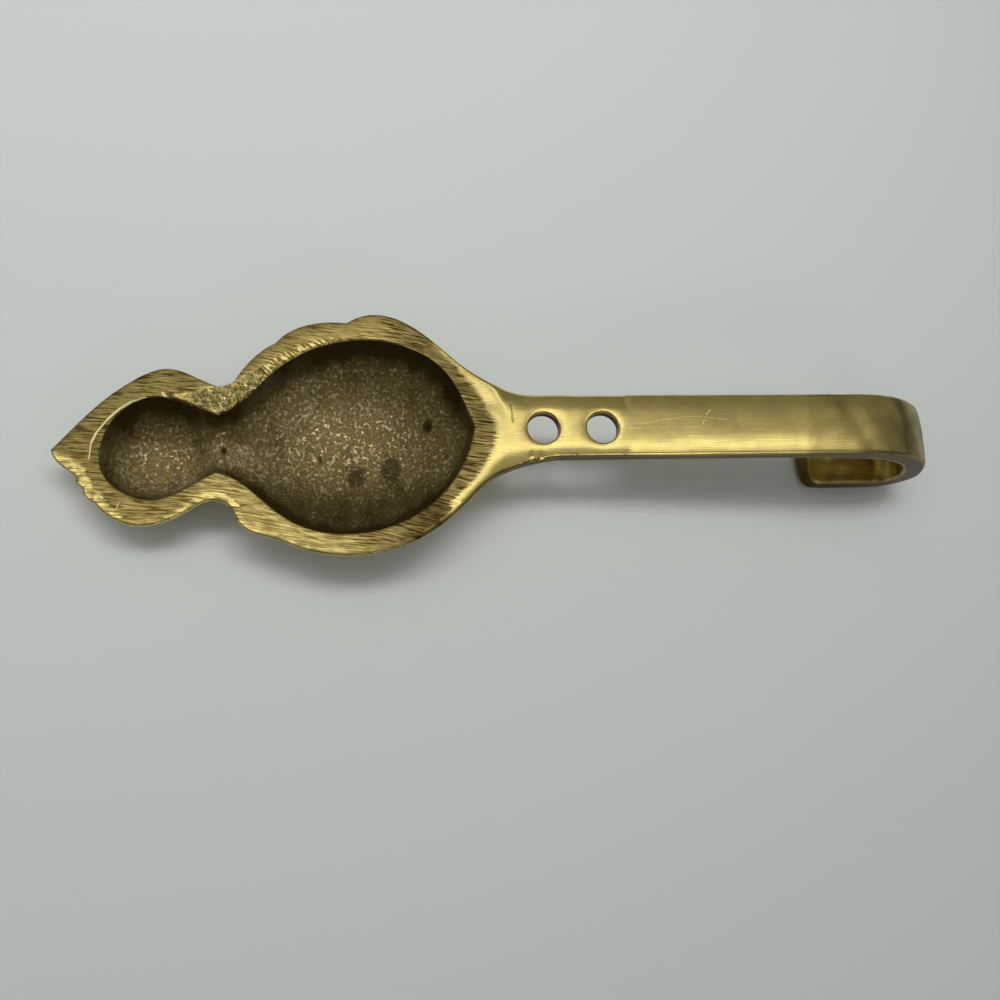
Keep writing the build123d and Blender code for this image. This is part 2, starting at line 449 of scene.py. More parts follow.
@dataclass(frozen=True)
class WorkedBrass:
    """Sand-cast brass that was filed on the rim and polished by hand and by wear elsewhere.

    The file leaves dark wavy grooves a third of a millimetre apart that break up the shine; the
    strap keeps a soft polish with fine scratches along it and a few deep ones; patches that
    neither reached keep the pitted cast skin.
    """

    bright: str = "#E9D585"
    dull: str = "#AC9150"
    groove: str = "#4E3A16"
    browned: str = "#4E3915"
    glint: str = "#F8E6A0"
    beige: str = "#C9AD7E"

    # On the file's grain. A real stroke is about a tenth of a millimetre; these are drawn as
    # coarse as they need to show. The bright strokes are painted glints: pale colour where the
    # file's ridges would catch the light.
    strokes: Speckle = Speckle((0.3, 4.167, 1.0), (0.5, 0.6), 2.0)
    painted_glint_strokes: Speckle = Speckle((0.3, 4.167, 1.0), (0.4, 0.34), 2.0, (0.0, 0.6))
    fine_strokes: Speckle = Speckle((0.16, 2.5, 1.0), (0.45, 0.65), 1.0, (0.0, 0.55))
    scratches: Speckle = Speckle((0.12, 14.286, 1.0), (0.3, 0.7), 3.0)
    filing_border: Speckle = Speckle((0.3, 16.667, 1.0), (0.0, 1.0), 1.0, (-0.55, 0.55))

    # On the casting itself.
    skin_border: Speckle = Speckle((0.625,) * 3, (0.0, 1.0), 2.0, (-0.4, 0.4))
    wear: Speckle = Speckle((5.0,) * 3, (0.3, 0.7), 2.0, (0.5, 0.85))
    hatching: Speckle = Speckle((0.4167, 1.6667, 2.381), (0.47, 0.6), 1.0, (0.0, 0.8), turn=0.65)
    pits: Speckle = Speckle((0.9,) * 3, (0.35, 0.65), 2.0)
    clouds: Speckle = Speckle((9.0,) * 3, (0.35, 0.7), 4.0, (0.0, 0.3))
    dust: Speckle = Speckle((3.4,) * 3, (0.48, 0.66), 4.0, (0.0, 0.35))

    # Single marks: two dark lines above the holes, nicks that show bare new metal, one long
    # pale scratch down the strap and the crest that the file left beside the head pocket.
    # The nicks, the pale scratch and the crest are painted pale: new metal, and a painted
    # highlight where they would catch the light.
    deep: tuple[Scratch, ...] = (
        Scratch(((-4.6, 10.8), (-1.6, 10.5)), (0.26,)),
        Scratch(((-1.9, 10.55), (-1.2, 10.5)), (0.5,)),
    )
    nicks: tuple[Scratch, ...] = (
        Scratch(((-3.0, -24.7), (-2.1, -23.8)), (0.24,)),
        Scratch(((-1.1, -23.4), (-0.4, -23.0)), (0.3,)),
        Scratch(((0.1, -17.2), (1.0, -18.2)), (0.18,)),
        Scratch(((0.3, -9.0), (0.3, -12.2)), (0.2,)),
        Scratch(((12.2, 75.0), (13.1, 75.3)), (0.25,)),
    )
    pale: tuple[Scratch, ...] = (
        Scratch(((-0.5, -8.6), (-0.7, -13.0), (-1.5, -17.5), (-1.9, -22.1), (-1.2, -27.6)), (0.14,) * 4, 0.6),
    )
    crest: tuple[Scratch, ...] = (
        Scratch(
            ((4.6, 80.0), (2.0, 79.8), (0.3, 79.1), (-2.1, 77.4), (-3.8, 75.7), (-5.1, 73.8), (-5.8, 71.6)),
            (0.35, 0.55, 0.45, 0.6, 0.6, 0.4),
        ),
        Scratch(((-6.6, 68.9), (-6.2, 68.5)), (0.7,)),
    )

    def build(self) -> bpy.types.Material:
        """Node material: strokes and skin as colour, roughness and bump, mixed by the layers.

        Returns:
            The material, which reads the file's grain, the casting's place and four layers.
        """
        material = empty_material("worked_brass")
        tree = material.node_tree
        on_grain = (add_node(tree, "ShaderNodeUVMap", uv_map=GRAIN_MAP), 1.0)
        place = add_node(tree, "ShaderNodeTexCoord", output="Object")
        on_metal = (place, MM)
        plan = add_node(tree, "ShaderNodeVectorMath", {0: place, 1: (1.0, 0.0, 1.0)}, operation="MULTIPLY")
        filed, skin, hatch, tarnish = (
            add_node(tree, "ShaderNodeAttribute", output="Fac", attribute_name=layer.value)
            for layer in (Layer.FILED, Layer.SKIN, Layer.HATCH, Layer.TARNISH_AND_SHADE)
        )

        def ragged(layer: bpy.types.NodeSocket, border: bpy.types.NodeSocket) -> bpy.types.NodeSocket:
            """A layer with its soft border cut sharp along an uneven line."""
            shifted = add_node(tree, "ShaderNodeMath", {0: layer, 1: border}, operation="ADD")
            cut = {"Value": shifted, "From Min": 0.44, "From Max": 0.56}
            return add_node(tree, "ShaderNodeMapRange", cut)

        def joined(marks: tuple[Scratch, ...], to: object = 0.0) -> bpy.types.NodeSocket:
            """The strongest of several scratches and of what they are joined to."""
            for mark in marks:
                to = mark.build(tree, plan, to)
            return to

        skin = ragged(skin, self.skin_border.build(tree, *on_metal))
        whole = add_node(tree, "ShaderNodeMath", {0: 1.0, 1: skin}, operation="SUBTRACT")
        filed = ragged(filed, self.filing_border.build(tree, *on_grain))
        filed = add_node(tree, "ShaderNodeMath", {0: filed, 1: whole}, operation="MULTIPLY")

        # Strokes are darker where the metal is worn or tarnished.
        strokes, fine = (pattern.build(tree, *on_grain) for pattern in (self.strokes, self.fine_strokes))
        marks = add_node(tree, "ShaderNodeMath", {0: strokes, 1: fine}, operation="MAXIMUM")
        wear = self.wear.build(tree, *on_metal)
        weight = add_node(tree, "ShaderNodeMath", {0: tarnish, 1: 0.9, 2: wear}, operation="MULTIPLY_ADD")
        marks = add_node(tree, "ShaderNodeMath", {0: marks, 1: weight}, operation="MULTIPLY")

        scratches = self.scratches.build(tree, *on_grain)
        hatching, pits = (pattern.build(tree, *on_metal) for pattern in (self.hatching, self.pits))
        hollows = add_node(tree, "ShaderNodeMath", {0: 0.7, 1: pits}, operation="SUBTRACT")
        painted_grit_glints = add_node(tree, "ShaderNodeMapRange", {"Value": pits, "From Min": 0.7, "From Max": 0.95})
        deep, nicks, crest = (joined(lines) for lines in (self.deep, self.nicks, self.crest))
        fresh_and_painted_glint = add_node(tree, "ShaderNodeMath", {0: joined(self.pale, nicks), 1: crest}, operation="MAXIMUM")

        shade = linear(self.bright)
        for colour, *shares in (
            (self.dull, self.clouds.build(tree, *on_metal)),
            (self.beige, self.dust.build(tree, *on_metal)),
            (self.dull, scratches, 0.25),
            (self.dull, filed, 0.4),
            (self.groove, filed, marks),
            # Painted glints: pale colour on the file's strokes.
            (self.glint, filed, self.painted_glint_strokes.build(tree, *on_grain)),
            (self.groove, hatch, hatching),
            (self.groove, skin, hollows),
            # Painted glints: pale colour on the tops of the cast skin's grit.
            (self.glint, skin, painted_grit_glints),
            (self.groove, deep, 0.35),
            # Tarnish, and painted shade in the screw holes and on the strap's sides and free end.
            (self.browned, tarnish),
            # Pale new metal with a painted highlight on the nicks, the pale scratch and the crest.
            (self.glint, fresh_and_painted_glint),
        ):
            shade = coat(tree, shade, colour, *shares)

        rough = 0.12
        for layer, amount in ((scratches, 0.12), (filed, 0.08), (skin, 0.1), (tarnish, 0.28)):
            inputs = {0: layer, 1: amount, 2: rough}
            rough = add_node(tree, "ShaderNodeMath", inputs, operation="MULTIPLY_ADD")

        # A newly cut mark scatters light like a pale grain, so it shows from any side; its pale
        # colour is partly a painted highlight.
        metal = add_node(tree, "ShaderNodeMath", {0: fresh_and_painted_glint, 1: -0.75, 2: 1.0}, operation="MULTIPLY_ADD")

        forms = (
            (scratches, 0.004, 1.0),
            (marks, -0.02, filed),
            (hatching, -0.075, hatch),
            (pits, 0.2, skin),
            (deep, -0.02, 1.0),
            (nicks, -0.05, 1.0),
            (crest, 0.09, 1.0),
        )
        shader = add_node(
            tree,
            "ShaderNodeBsdfPrincipled",
            {"Base Color": shade, "Roughness": rough, "Metallic": metal, "Normal": relief(tree, forms)},
        )
        add_node(tree, "ShaderNodeOutputMaterial", {"Surface": shader})
        return material


@dataclass(frozen=True)
class CastBrass:
    """As-cast brass of the pockets: a dull bronze skin with sand-sized grain and dark pits."""

    pale: str = "#FFEBB4"
    deep: str = "#AA904C"
    # Dark brown for sooty patches, and for painted shade on the pockets' walls and brink.
    soot_and_shade: str = "#4A3A0C"
    grain: Speckle = Speckle((0.6,) * 3, (0.42, 0.58), 6.0, roughness=0.7)
    lumps: Speckle = Speckle((2.4,) * 3, (0.3, 0.7), 3.0, roughness=0.7)
    specks: Speckle = Speckle((0.96,) * 3, (0.62, 0.75), 2.0, roughness=0.7)
    hollows: Speckle = Speckle((3.3,) * 3, (0.54, 0.68), 5.0, (0.0, 0.5), roughness=0.7)

    def build(self) -> bpy.types.Material:
        """Node material: grain and soft lumps as colour and bump, staining and painted shade by their layer.

        Returns:
            The material, which reads the casting's place and the layer of staining and painted shade.
        """
        material = empty_material("cast_brass")
        tree = material.node_tree
        place = add_node(tree, "ShaderNodeTexCoord", output="Object")
        stain = add_node(tree, "ShaderNodeAttribute", output="Fac", attribute_name=Layer.STAIN_AND_SHADE.value)
        grain, lumps, specks, hollows = (
            pattern.build(tree, place, MM) for pattern in (self.grain, self.lumps, self.specks, self.hollows)
        )
        shade = linear(self.deep)
        # That layer paints shade on the walls and the brink, and leaves the floors' middles bright as a
        # painted sheen, besides real staining.
        coats = ((self.pale, grain), (self.deep, specks), (self.soot_and_shade, hollows), (self.soot_and_shade, stain))
        for colour, share in coats:
            shade = coat(tree, shade, colour, share)
        normal = relief(tree, ((lumps, 0.5, 0.6), (grain, 0.22, 1.0)))
        shader = add_node(
            tree,
            "ShaderNodeBsdfPrincipled",
            {"Base Color": shade, "Roughness": 0.3, "Metallic": 0.55, "Normal": normal},
        )
        add_node(tree, "ShaderNodeOutputMaterial", {"Surface": shader})
        return material


class Finish(Enum):
    """Material slots of the casting, in order."""

    WORKED = 0
    CAST = 1


# ---------------------------------------------------------------- the casting


# Rows across the casting's sides, as shares of the way from the back's brink to the front's.
DEPTHS = (0.0, 0.12, 0.5, 0.88, 1.0)
# Points of neighbouring patches closer than this, in metres, are one point of the skin.
MERGE = 0.004 * MM


@dataclass
class Patch:
    """A grid of the skin: places (rows, columns, 3), file-grain coordinates and layers."""

    places: Array
    grain: Array
    layers: dict[Layer, Array]
    finish: Finish = Finish.WORKED

    def recolumned(self, order: Array) -> "Patch":
        """The same grid with its columns taken in another order."""
        layers = {layer: values[:, order] for layer, values in self.layers.items()}
        return Patch(self.places[:, order], self.grain[:, order], layers, self.finish)


@dataclass(frozen=True)
class Bulge:
    """A round hump or bowl over the plan, in mm.

    Attributes:
        x: Place of its middle.
        z: Height of its middle.
        wide: Half size across.
        tall: Half size up.
        height: Its height or depth at the middle.
        power: How flat it is on top and how steep beside.
    """

    x: float
    z: float
    wide: float
    tall: float
    height: float
    power: float

    def over(self, plan: Array) -> Array:
        """Its height at plan places: h exp(-0.9 r^power), r being the way out over its half sizes."""
        out = np.hypot((plan[..., 0] - self.x) / self.wide, (plan[..., 1] - self.z) / self.tall)
        return self.height * np.exp(-0.9 * out**self.power)


@dataclass(frozen=True)
class Strap:
    """The strap's section and the J's route, as sizes in mm.

    Attributes:
        centre: x of its middle line.
        width: Its width.
        thick: Thickness above the J.
        drop: How far below the part's origin it leaves the wall.
        bend: Radius and degrees of the J's first turn, away from the wall.
        nose: Radius and degrees of the turn round its end.
        arm: Length of the straight that follows.
        curl: Radius and degrees of the last turn, towards the wall.
        swell: Length over which it thickens before the J.
        turn_thick: Thickness round the J.
        tip_thick: Thickness at the free end.
        tip_corner: Radius of the free end's corners.
        crown: How far the back has fallen at its edges.
        chamfer: Width of the bevel along the back's edges.
        steepness: Fall of that bevel for each mm across.
        front_round: Radius of the front's edges.
        hole: Radius of the screw holes.
        hole_offset: Height of one hole above the origin, and depth of the other below it.
        sink: Radius of the countersinks at the front.
        lip: Radius of the holes' worn lips at the back.
    """

    centre: float = -0.5
    width: float = 11.2
    thick: float = 3.4
    drop: float = 53.3
    bend: tuple[float, float] = (18.3, 81.0)
    nose: tuple[float, float] = (8.0, 99.0)
    arm: float = 7.9
    curl: tuple[float, float] = (14.0, 26.0)
    swell: float = 8.0
    turn_thick: float = 4.4
    tip_thick: float = 3.6
    tip_corner: float = 2.8
    crown: float = 0.38
    chamfer: float = 0.4
    steepness: float = 0.72
    front_round: float = 0.5
    hole: float = 2.75
    hole_offset: float = 5.2
    sink: float = 4.1
    lip: float = 0.32

    def across(self) -> Array:
        """Places across the strap, closest together at its bevelled edges.

        Returns:
            Shares of the half width, from -1 at the left edge to 1 at the right.
        """
        half = self.width / 2
        edge = np.array([0.0, 0.03, 0.08, 0.36, 0.44, 0.6, 0.9, 1.25])
        left = np.concatenate((edge, np.linspace(edge[-1], half, 11)[1:])) / half - 1.0
        return np.concatenate((left, -left[-2::-1]))

    def edge_fall(self, gap: Array) -> Array:
        """Fall of the back at a distance from its edge: the steepness times what is left of the bevel."""
        return self.steepness * np.maximum(self.chamfer - gap, 0.0)

    def route(self) -> tuple[Array, Array, Array, Array]:
        """The back face's way round the J.

        A turn through angle a keeps the tangent (-sin a, -cos a) in (y, z), so an arc of
        radius R moves by R (cos a - cos a0, -(sin a - sin a0)) and a straight by its length
        along the tangent.

        Returns:
            Places (n, 2) as (y, z), turn angles, lengths from the strap's end and thicknesses.
        """
        runs = (self.bend, self.nose, (None, self.arm), self.curl)
        place, turned, gone = np.array([0.0, -self.drop]), 0.0, 0.0
        legs = []
        for index, (radius, amount) in enumerate(runs):
            if radius is None:
                s = np.linspace(0.0, amount, 26)
                a = np.full_like(s, turned)
                move = s[:, None] * np.stack((-np.sin(a), -np.cos(a)), axis=-1)
            else:
                a = turned + np.linspace(0.0, math.radians(amount), max(24, int(radius * amount * 0.06)))
                s = radius * (a - turned)
                y, z = np.cos(a) - math.cos(turned), math.sin(turned) - np.sin(a)
                move = radius * np.stack((y, z), axis=-1)
            is_last = index == len(runs) - 1
            thinning = s / s[-1] if is_last else np.zeros_like(s)
            thick = self.turn_thick + (self.tip_thick - self.turn_thick) * thinning
            keep = slice(0, None if is_last else -1)
            legs.append((place + move[keep], a[keep], gone + s[keep], thick[keep]))
            place, turned, gone = place + move[-1], a[-1], gone + s[-1]
        return tuple(np.concatenate(parts) for parts in zip(*legs))


@dataclass
class HookCasting:
    """The whole hook: figure, strap and J as one closed skin. Sizes in mm.

    Attributes:
        strap: The strap and the J.
        tip: The figure's pointed top, as (x, z).
        edge_thick: Thickness of the figure at its outline.
        joint: Height at which the figure's patches meet the strap's.
        domes: The front of the body and of the head.
        bowls: The pockets behind them.
        front_tarnish: Tarnish of the front, even all over.
    """

    strap: Strap = field(default_factory=Strap)
    tip: tuple[float, float] = (3.0, 86.1)
    edge_thick: float = 1.4
    joint: float = 9.4
    domes: tuple[Bulge, Bulge] = (
        Bulge(0.6, 37.5, 17.0, 19.0, 12.4, 4.0),
        Bulge(2.6, 69.0, 10.9, 10.9, 8.6, 4.0),
    )
    bowls: tuple[Bulge, Bulge] = (
        Bulge(0.9, 37.0, 16.0, 18.7, 11.0, 3.6),
        Bulge(2.9, 69.6, 8.4, 8.6, 7.0, 3.6),
    )
    front_tarnish: float = 0.12

    def __post_init__(self) -> None:
        """Works out the dense outlines that the patches and heights share.

        The outline is a chain of splines on each side, meeting in the cusps between its
        lobes. The pockets' brink is one closed chain. The edge is the outline with the
        strap's sides added, which every distance to the edge is measured from.
        """
        flare_root = (self.strap.width / 2 + 0.1, 3.5)
        flare_end = (self.strap.width / 2 - 0.75, -4.0)
        centre = self.strap.centre
        self.left = chain_through(
            self.tip,
            [
                [(-3.6, 80.2), (-8.9, 73.8), (-11.0, 68.1), (-9.2, 63.1), (-7.9, 60.2)],
                [(-8.1, 58.7), (-8.7, 57.4)],
                [(-11.7, 55.4), (-14.3, 52.8), (-15.7, 50.6)],
                [(-18.3, 47.3), (-19.5, 42.3), (-19.4, 38.6)],
                [
                    (-21.0, 33.4), (-17.9, 25.8), (-12.1, 19.4), (-8.3, 14.0), (-6.4, 8.8),
                    (centre - flare_root[0], flare_root[1]), (centre - flare_end[0], flare_end[1]),
                ],
            ],
        )
        self.right = chain_through(
            self.tip,
            [
                [(self.tip[0] + 1.6, self.tip[1] - 0.7), (self.tip[0] + 3.3, self.tip[1] - 2.5), (7.4, 82.2)],
                [(8.7, 81.8), (9.4, 81.0)],
                [(11.1, 80.2), (12.0, 78.9)],
                [(13.6, 77.5), (14.9, 75.4)],
                [(15.8, 69.6), (13.9, 64.8), (11.9, 60.4), (12.5, 58.4), (14.5, 56.8)],
                [(16.9, 55.0), (18.0, 52.4), (19.0, 49.3)],
                [
                    (20.9, 43.9), (21.5, 35.4), (18.4, 25.9), (13.0, 19.0), (9.0, 14.8), (6.5, 9.7),
                    (centre + flare_root[0], flare_root[1]), (centre + flare_end[0], flare_end[1]),
                ],
            ],
        )
        pocket = chain_through(
            (-2.9, 59.7),
            [
                [
                    (-4.8, 65.2), (-6.0, 69.6), (-4.7, 74.0), (0.0, 77.7), (3.4, 78.5), (7.3, 77.7),
                    (11.1, 73.0), (11.7, 69.7), (10.8, 66.6), (7.2, 60.0),
                ],
                [
                    (9.0, 56.0), (12.7, 51.8), (16.6, 46.0), (18.0, 39.5), (17.1, 32.5), (12.6, 24.2),
                    (5.0, 18.7), (-0.4, 17.1),
                ],
                [
                    (-4.7, 18.6), (-11.5, 22.7), (-15.7, 30.9), (-16.2, 36.4), (-14.1, 45.5), (-9.0, 52.4),
                    (-4.6, 56.6), (-2.9, 59.7),
                ],
            ],
        )
        self.pocket = pocket
        top = int(np.argmax(pocket[:, 1]))
        turned = np.vstack((pocket[top:-1], pocket[: top + 1]))
        low = int(np.argmin(turned[:, 1]))
        self.pocket_right, self.pocket_left = turned[: low + 1], turned[low:][::-1]
        half = self.strap.width / 2
        flare_top = self.joint + 14.0
        rows = np.linspace(flare_top, -16.0, 240)
        sides = [self.side(rows, sign) for sign in (-1, 1)]
        self.edge = np.vstack(
            (
                [centre - half, -60.0],
                np.stack((sides[0], rows), axis=-1)[::-1],
                self.left[self.left[:, 1] > flare_top][::-1],
                self.right[self.right[:, 1] > flare_top],
                np.stack((sides[1], rows), axis=-1),
                [centre + half, -60.0],
            )
        )

    def side(self, z: Array, sign: int) -> Array:
        """Edge of the shoulder and the strap: the outline where it is wider than the strap.

        Args:
            z: Heights, below the body.
            sign: -1 for the left edge, 1 for the right.

        Returns:
            x of the edge at each height.
        """
        line = self.left if sign < 0 else self.right
        line = line[line[:, 1] < 30.0]
        flank = np.interp(z, line[::-1, 1], line[::-1, 0])
        plain = self.strap.centre + sign * self.strap.width / 2
        return np.minimum(flank, plain) if sign < 0 else np.maximum(flank, plain)

    def along_line(self, plan: Array, line: list[tuple[float, float, float]]) -> Array:
        """Distance to a line over its half width, the least over its straight legs.

        Args:
            plan: Plan places.
            line: Its stations, as (x, z, half width).

        Returns:
            0 on the line, 1 at its half width, and at most 9.
        """
        best = np.full(plan.shape[:-1], 9.0)
        for (x0, z0, w0), (x1, z1, w1) in zip(line[:-1], line[1:]):
            arm = np.array([x1 - x0, z1 - z0])
            out = plan - np.array([x0, z0])
            along = np.clip((out @ arm) / (arm @ arm), 0.0, 1.0)
            gap = np.linalg.norm(out - along[..., None] * arm, axis=-1)
            best = np.minimum(best, gap / (w0 + (w1 - w0) * along))
        return best

    def unfiled(self, plan: Array, outside: float = 1.15, inside: float = 0.75) -> Array:
        """How far the pitted cast skin shows: a low place at the neck that the file missed.

        Args:
            plan: Plan places.
            outside: Way from its middle line, in half widths, past which none shows.
            inside: Way within which it shows in full.

        Returns:
            Shares from 0 to 1.
        """
        line = [
            (-6.3, 68.8, 0.15), (-5.7, 64.8, 1.3), (-5.2, 61.5, 2.2), (-5.4, 59.5, 2.6),
            (-6.4, 56.9, 2.2), (-8.6, 54.6, 1.3), (-10.2, 53.0, 0.6),
        ]
        return ramp(self.along_line(plan, line), outside, inside)

    def hatched(self, plan: Array) -> Array:
        """Short-stroked bevel that draws the body pocket's left brink down.

        Args:
            plan: Plan places.

        Returns:
            Its width in mm beside each place, from its widths at stations up the hook.
        """
        stations = (36.0, 38.0, 42.0, 47.0, 52.0, 56.0, 57.5)
        widths = (0.0, 0.5, 1.1, 1.6, 2.0, 2.2, 0.0)
        return np.interp(plan[..., 1], stations, widths) * (plan[..., 0] < 0.0)

    def chamfer(self, plan: Array) -> Array:
        """Facet that the file left along the outline's right side.

        Args:
            plan: Plan places.

        Returns:
            Its width in mm beside each place, from its widths at stations up the hook.
        """
        stations = (13.0, 18.0, 22.0, 45.0, 52.0, 57.0, 61.5, 65.0, 70.0, 74.0, 77.0, 80.0, 83.0, 85.5)
        widths = (0.0, 0.6, 1.0, 1.0, 1.3, 1.5, 1.8, 1.0, 0.8, 0.9, 1.8, 2.1, 1.9, 0.6)
        return np.interp(plan[..., 1], stations, widths) * (plan[..., 0] > 3.0)

    def strapness(self, z: Array) -> Array:
        """0 on the figure, 1 on the strap."""
        return ramp(z, 24.0, 13.0)

    def back_fall(self, plan: Array) -> Array:
        """How far the back lies below the wall plane, outside the pockets.

        It is a sum of falls. The edge is rounded on the figure and bevelled on the strap
        and the right shoulder. The strap is crowned by its crown times the cube of the way
        from the middle. The figure's left edge is dulled over about a millimetre. The
        shoulders fall with the square of the distance past the filing's end, and the left
        one dips beside it. The file's facet falls in a straight line from the outline, and
        so does the bevel at the body pocket's brink. The holes have dished lips. The sunken
        cast skin has streaks, the strip within the crest lies low, two nicks are pressed in
        beside the upper hole, and a little unevenness lies over all.

        Args:
            plan: Plan places.

        Returns:
            Distances below the wall plane, 0 or more.
        """
        strap = self.strap
        x, z = plan[..., 0], plan[..., 1]
        gap = distance_to(self.edge, plan)
        brink = distance_to(self.pocket, plan)
        past = self.filing_end(x) - z
        share = self.strapness(z)

        bevelled = np.maximum(share, ramp(z, 38.0, 30.0) * (x > 3.0))
        fall = rounding(gap, 0.28) * (1.0 - bevelled) + strap.edge_fall(gap) * bevelled
        way = 1.0 - np.minimum(gap / (strap.width / 2), 1.0)
        uncrowned = 0.9 * ramp(past, 9.0, 3.0) * ramp(x, 1.0, -2.0) * ramp(z, 11.0, 13.0)
        fall += strap.crown * way**3 * share * (1.0 - uncrowned)
        fall += (1.0 - share) * 0.16 * np.exp(-gap / 0.8) * (x < 3.0)

        fall += 0.03 * np.clip(past - 3.0, 0.0, 4.0) ** 2 * ramp(x, -3.0, -9.0)
        fall += 0.018 * np.clip(past + 0.5, 0.0, 4.0) ** 2 * ramp(x, 2.5, 8.0)
        fall += 0.46 * ramp(past, 3.3, -0.8) * ramp(past, -9.0, 0.0) * ramp(x, 1.0, -5.0)

        facet = np.maximum(self.chamfer(plan) - gap, 0.0)
        fall += facet * (0.12 + 0.05 * ramp(z, 73.0, 78.0) + 0.03 * ripple(x, z, 2.0, 13))
        fall += 0.13 * np.maximum(self.hatched(plan) - brink, 0.0)

        for centre in (strap.hole_offset, -strap.hole_offset):
            rim = np.hypot(x, z - centre) - strap.hole
            fall += rounding(np.maximum(rim, 0.0), strap.lip) * (rim < strap.lip)
            fall += 0.13 * np.exp(-np.maximum(rim, 0.0) / 0.6)

        rough = self.unfiled(plan)
        fall += rough * (0.22 + 0.06 * ripple(x, z, 1.2, 5)) + rounding(brink, 0.7) * rough
        heading = np.arctan2(x + 6.4, 70.0 - z)
        fall += 0.03 * rough * np.cos(heading * 50.0) * ramp(z, 60.5, 62.5)
        fall += 0.12 * self.within_crest(plan)
        for nick_x, nick_z in ((5.0, 7.6), (5.0, 5.9)):
            fall += 0.25 * np.exp(-(((x - nick_x) / 0.45) ** 2 + ((z - nick_z) / 0.3) ** 2))

        fall += 0.02 * (1.0 + ripple(x, z, 9.0, 11))
        fall += 0.006 * (1.0 + ripple(x, z, 2.2, 12)) * (1.0 - 0.6 * share)
        return np.maximum(fall, 0.0)

    def filing_end(self, x: Array) -> Array:
        """Height at which the filed rim meets the polished shoulder: a shallow curve."""
        rise = np.where(x < 0.0, 0.165 * np.abs(x) ** 1.5, 0.049 * x * x)
        return 13.6 + np.minimum(rise, np.where(x < 0.0, 10.0, 8.0))

    def within_crest(self, plan: Array) -> Array:
        """Low strip between the head pocket's brink and a crest round its top left.

        Args:
            plan: Plan places.

        Returns:
            1 on the strip and 0 off it, with soft borders.
        """
        x, z = plan[..., 0], plan[..., 1]
        stations = (-5.6, -5.1, -3.8, -2.1, 0.3, 2.0, 4.6)
        crest = np.interp(x, stations, (72.6, 73.8, 75.7, 77.4, 79.1, 79.8, 80.0))
        return ramp(z, crest + 0.3, crest - 0.3) * ramp(x, 6.5, 4.0) * ramp(x, -5.8, -5.2) * (z > 72.0)

    def front_fall(self, plan: Array) -> Array:
        """Distance of the front from the wall plane.

        On the figure it is the edge thickness and the two domes, joined as the root of their
        squares, drawn in to the lip's thickness at the edge; on the strap it is its
        thickness less the rounding; the countersinks are cones of 45 degrees.

        Args:
            plan: Plan places.

        Returns:
            Distances below the wall plane.
        """
        lip = 0.8
        strap = self.strap
        x, z = plan[..., 0], plan[..., 1]
        gap = distance_to(self.edge, plan)
        share = ramp(z, 22.0, 10.0)
        body, head = (dome.over(plan) for dome in self.domes)
        figure = lip + (self.edge_thick + np.hypot(body, head) - lip) * (1.0 - np.exp(-gap / 0.9))
        flat = strap.thick - rounding(gap, strap.front_round)
        fall = figure * (1.0 - share) + flat * share
        for centre in (strap.hole_offset, -strap.hole_offset):
            out = np.hypot(x, z - centre)
            fall -= np.maximum(strap.sink - out, 0.0) * (out < strap.sink)
        return fall - 0.02 * (1.0 + ripple(x, z, 7.0, 21))

    def grain_of(self, plan: Array) -> Array:
        """File-grain coordinates in mm: across the strokes and along them.

        The strokes run along the hook and slant a little to the right as they come down,
        most where the hand swung round the body's two ends. Across is x plus the slant
        added up over z, in which each swing is a hyperbolic tangent.

        Args:
            plan: Plan places.

        Returns:
            The two coordinates at each place.
        """
        x, z = plan[..., 0], plan[..., 1]
        slant = 0.08 * np.maximum(z - 8.0, 0.0)
        swings = 1.4 * np.tanh((z - 25.0) / 7.0) + 1.3 * np.tanh((z - 50.0) / 8.0)
        return np.stack((x + slant + swings, z), axis=-1)

    def layers_of(self, plan: Array) -> dict[Layer, Array]:
        """Layers of the worked skin at plan places on the back.

        FILED and SKIN pass from 0 to 1 over a few millimetres; the finish cuts them sharp.
        The tarnish lies within the crest, on the first of the filed rim above the strap, at
        the body's lower right and round the head, off the file's facet.

        Args:
            plan: Plan places.

        Returns:
            The value of each layer at each place.
        """
        x, z = plan[..., 0], plan[..., 1]
        over = z - self.filing_end(x)
        low_place = self.unfiled(plan, 1.5, 0.5)
        hatch = ramp(distance_to(self.pocket, plan) - self.hatched(plan), 0.2, -0.3) * (1.0 - low_place)
        in_facet = self.chamfer(plan) - distance_to(self.edge, plan)

        filed = np.clip(0.5 + over / 4.0, 0.0, 1.0)
        filed *= (1.0 - 0.6 * hatch) * (1.0 - 0.7 * low_place) * (1.0 - 0.55 * ramp(in_facet, -0.2, 0.4))
        tarnish = 0.25 * self.within_crest(plan) + 0.35 * ramp(over, 12.0, 2.0) * ramp(over, -0.5, 0.5)
        tarnish += 0.35 * ramp(x, 9.0, 13.0) * ramp(z, 21.0, 24.0) * ramp(z, 40.0, 33.0)
        tarnish += 0.2 * ramp(z, 61.0, 66.0) * (1.0 - ramp(in_facet, -0.2, 0.2))
        return {
            Layer.FILED: filed,
            Layer.SKIN: low_place * ramp(z, 66.5, 62.5),
            Layer.HATCH: hatch,
            Layer.TARNISH_AND_SHADE: tarnish,
            Layer.STAIN_AND_SHADE: np.zeros_like(x),
        }

    def bare(self, plan: Array, tarnish: Array | float) -> dict[Layer, Array]:
        """Layers of skin that the file has not touched, with so much tarnish."""
        none = np.zeros(plan.shape[:-1])
        return {layer: none for layer in Layer} | {Layer.TARNISH_AND_SHADE: none + tarnish}

    def plan_patch(self, plan: Array, fall: Array, layers: dict[Layer, Array], finish: Finish) -> Patch:
        """A patch over plan places at given distances below the wall plane."""
        places = np.stack((plan[..., 0], -fall, plan[..., 1]), axis=-1)
        return Patch(places, self.grain_of(plan), layers, finish)

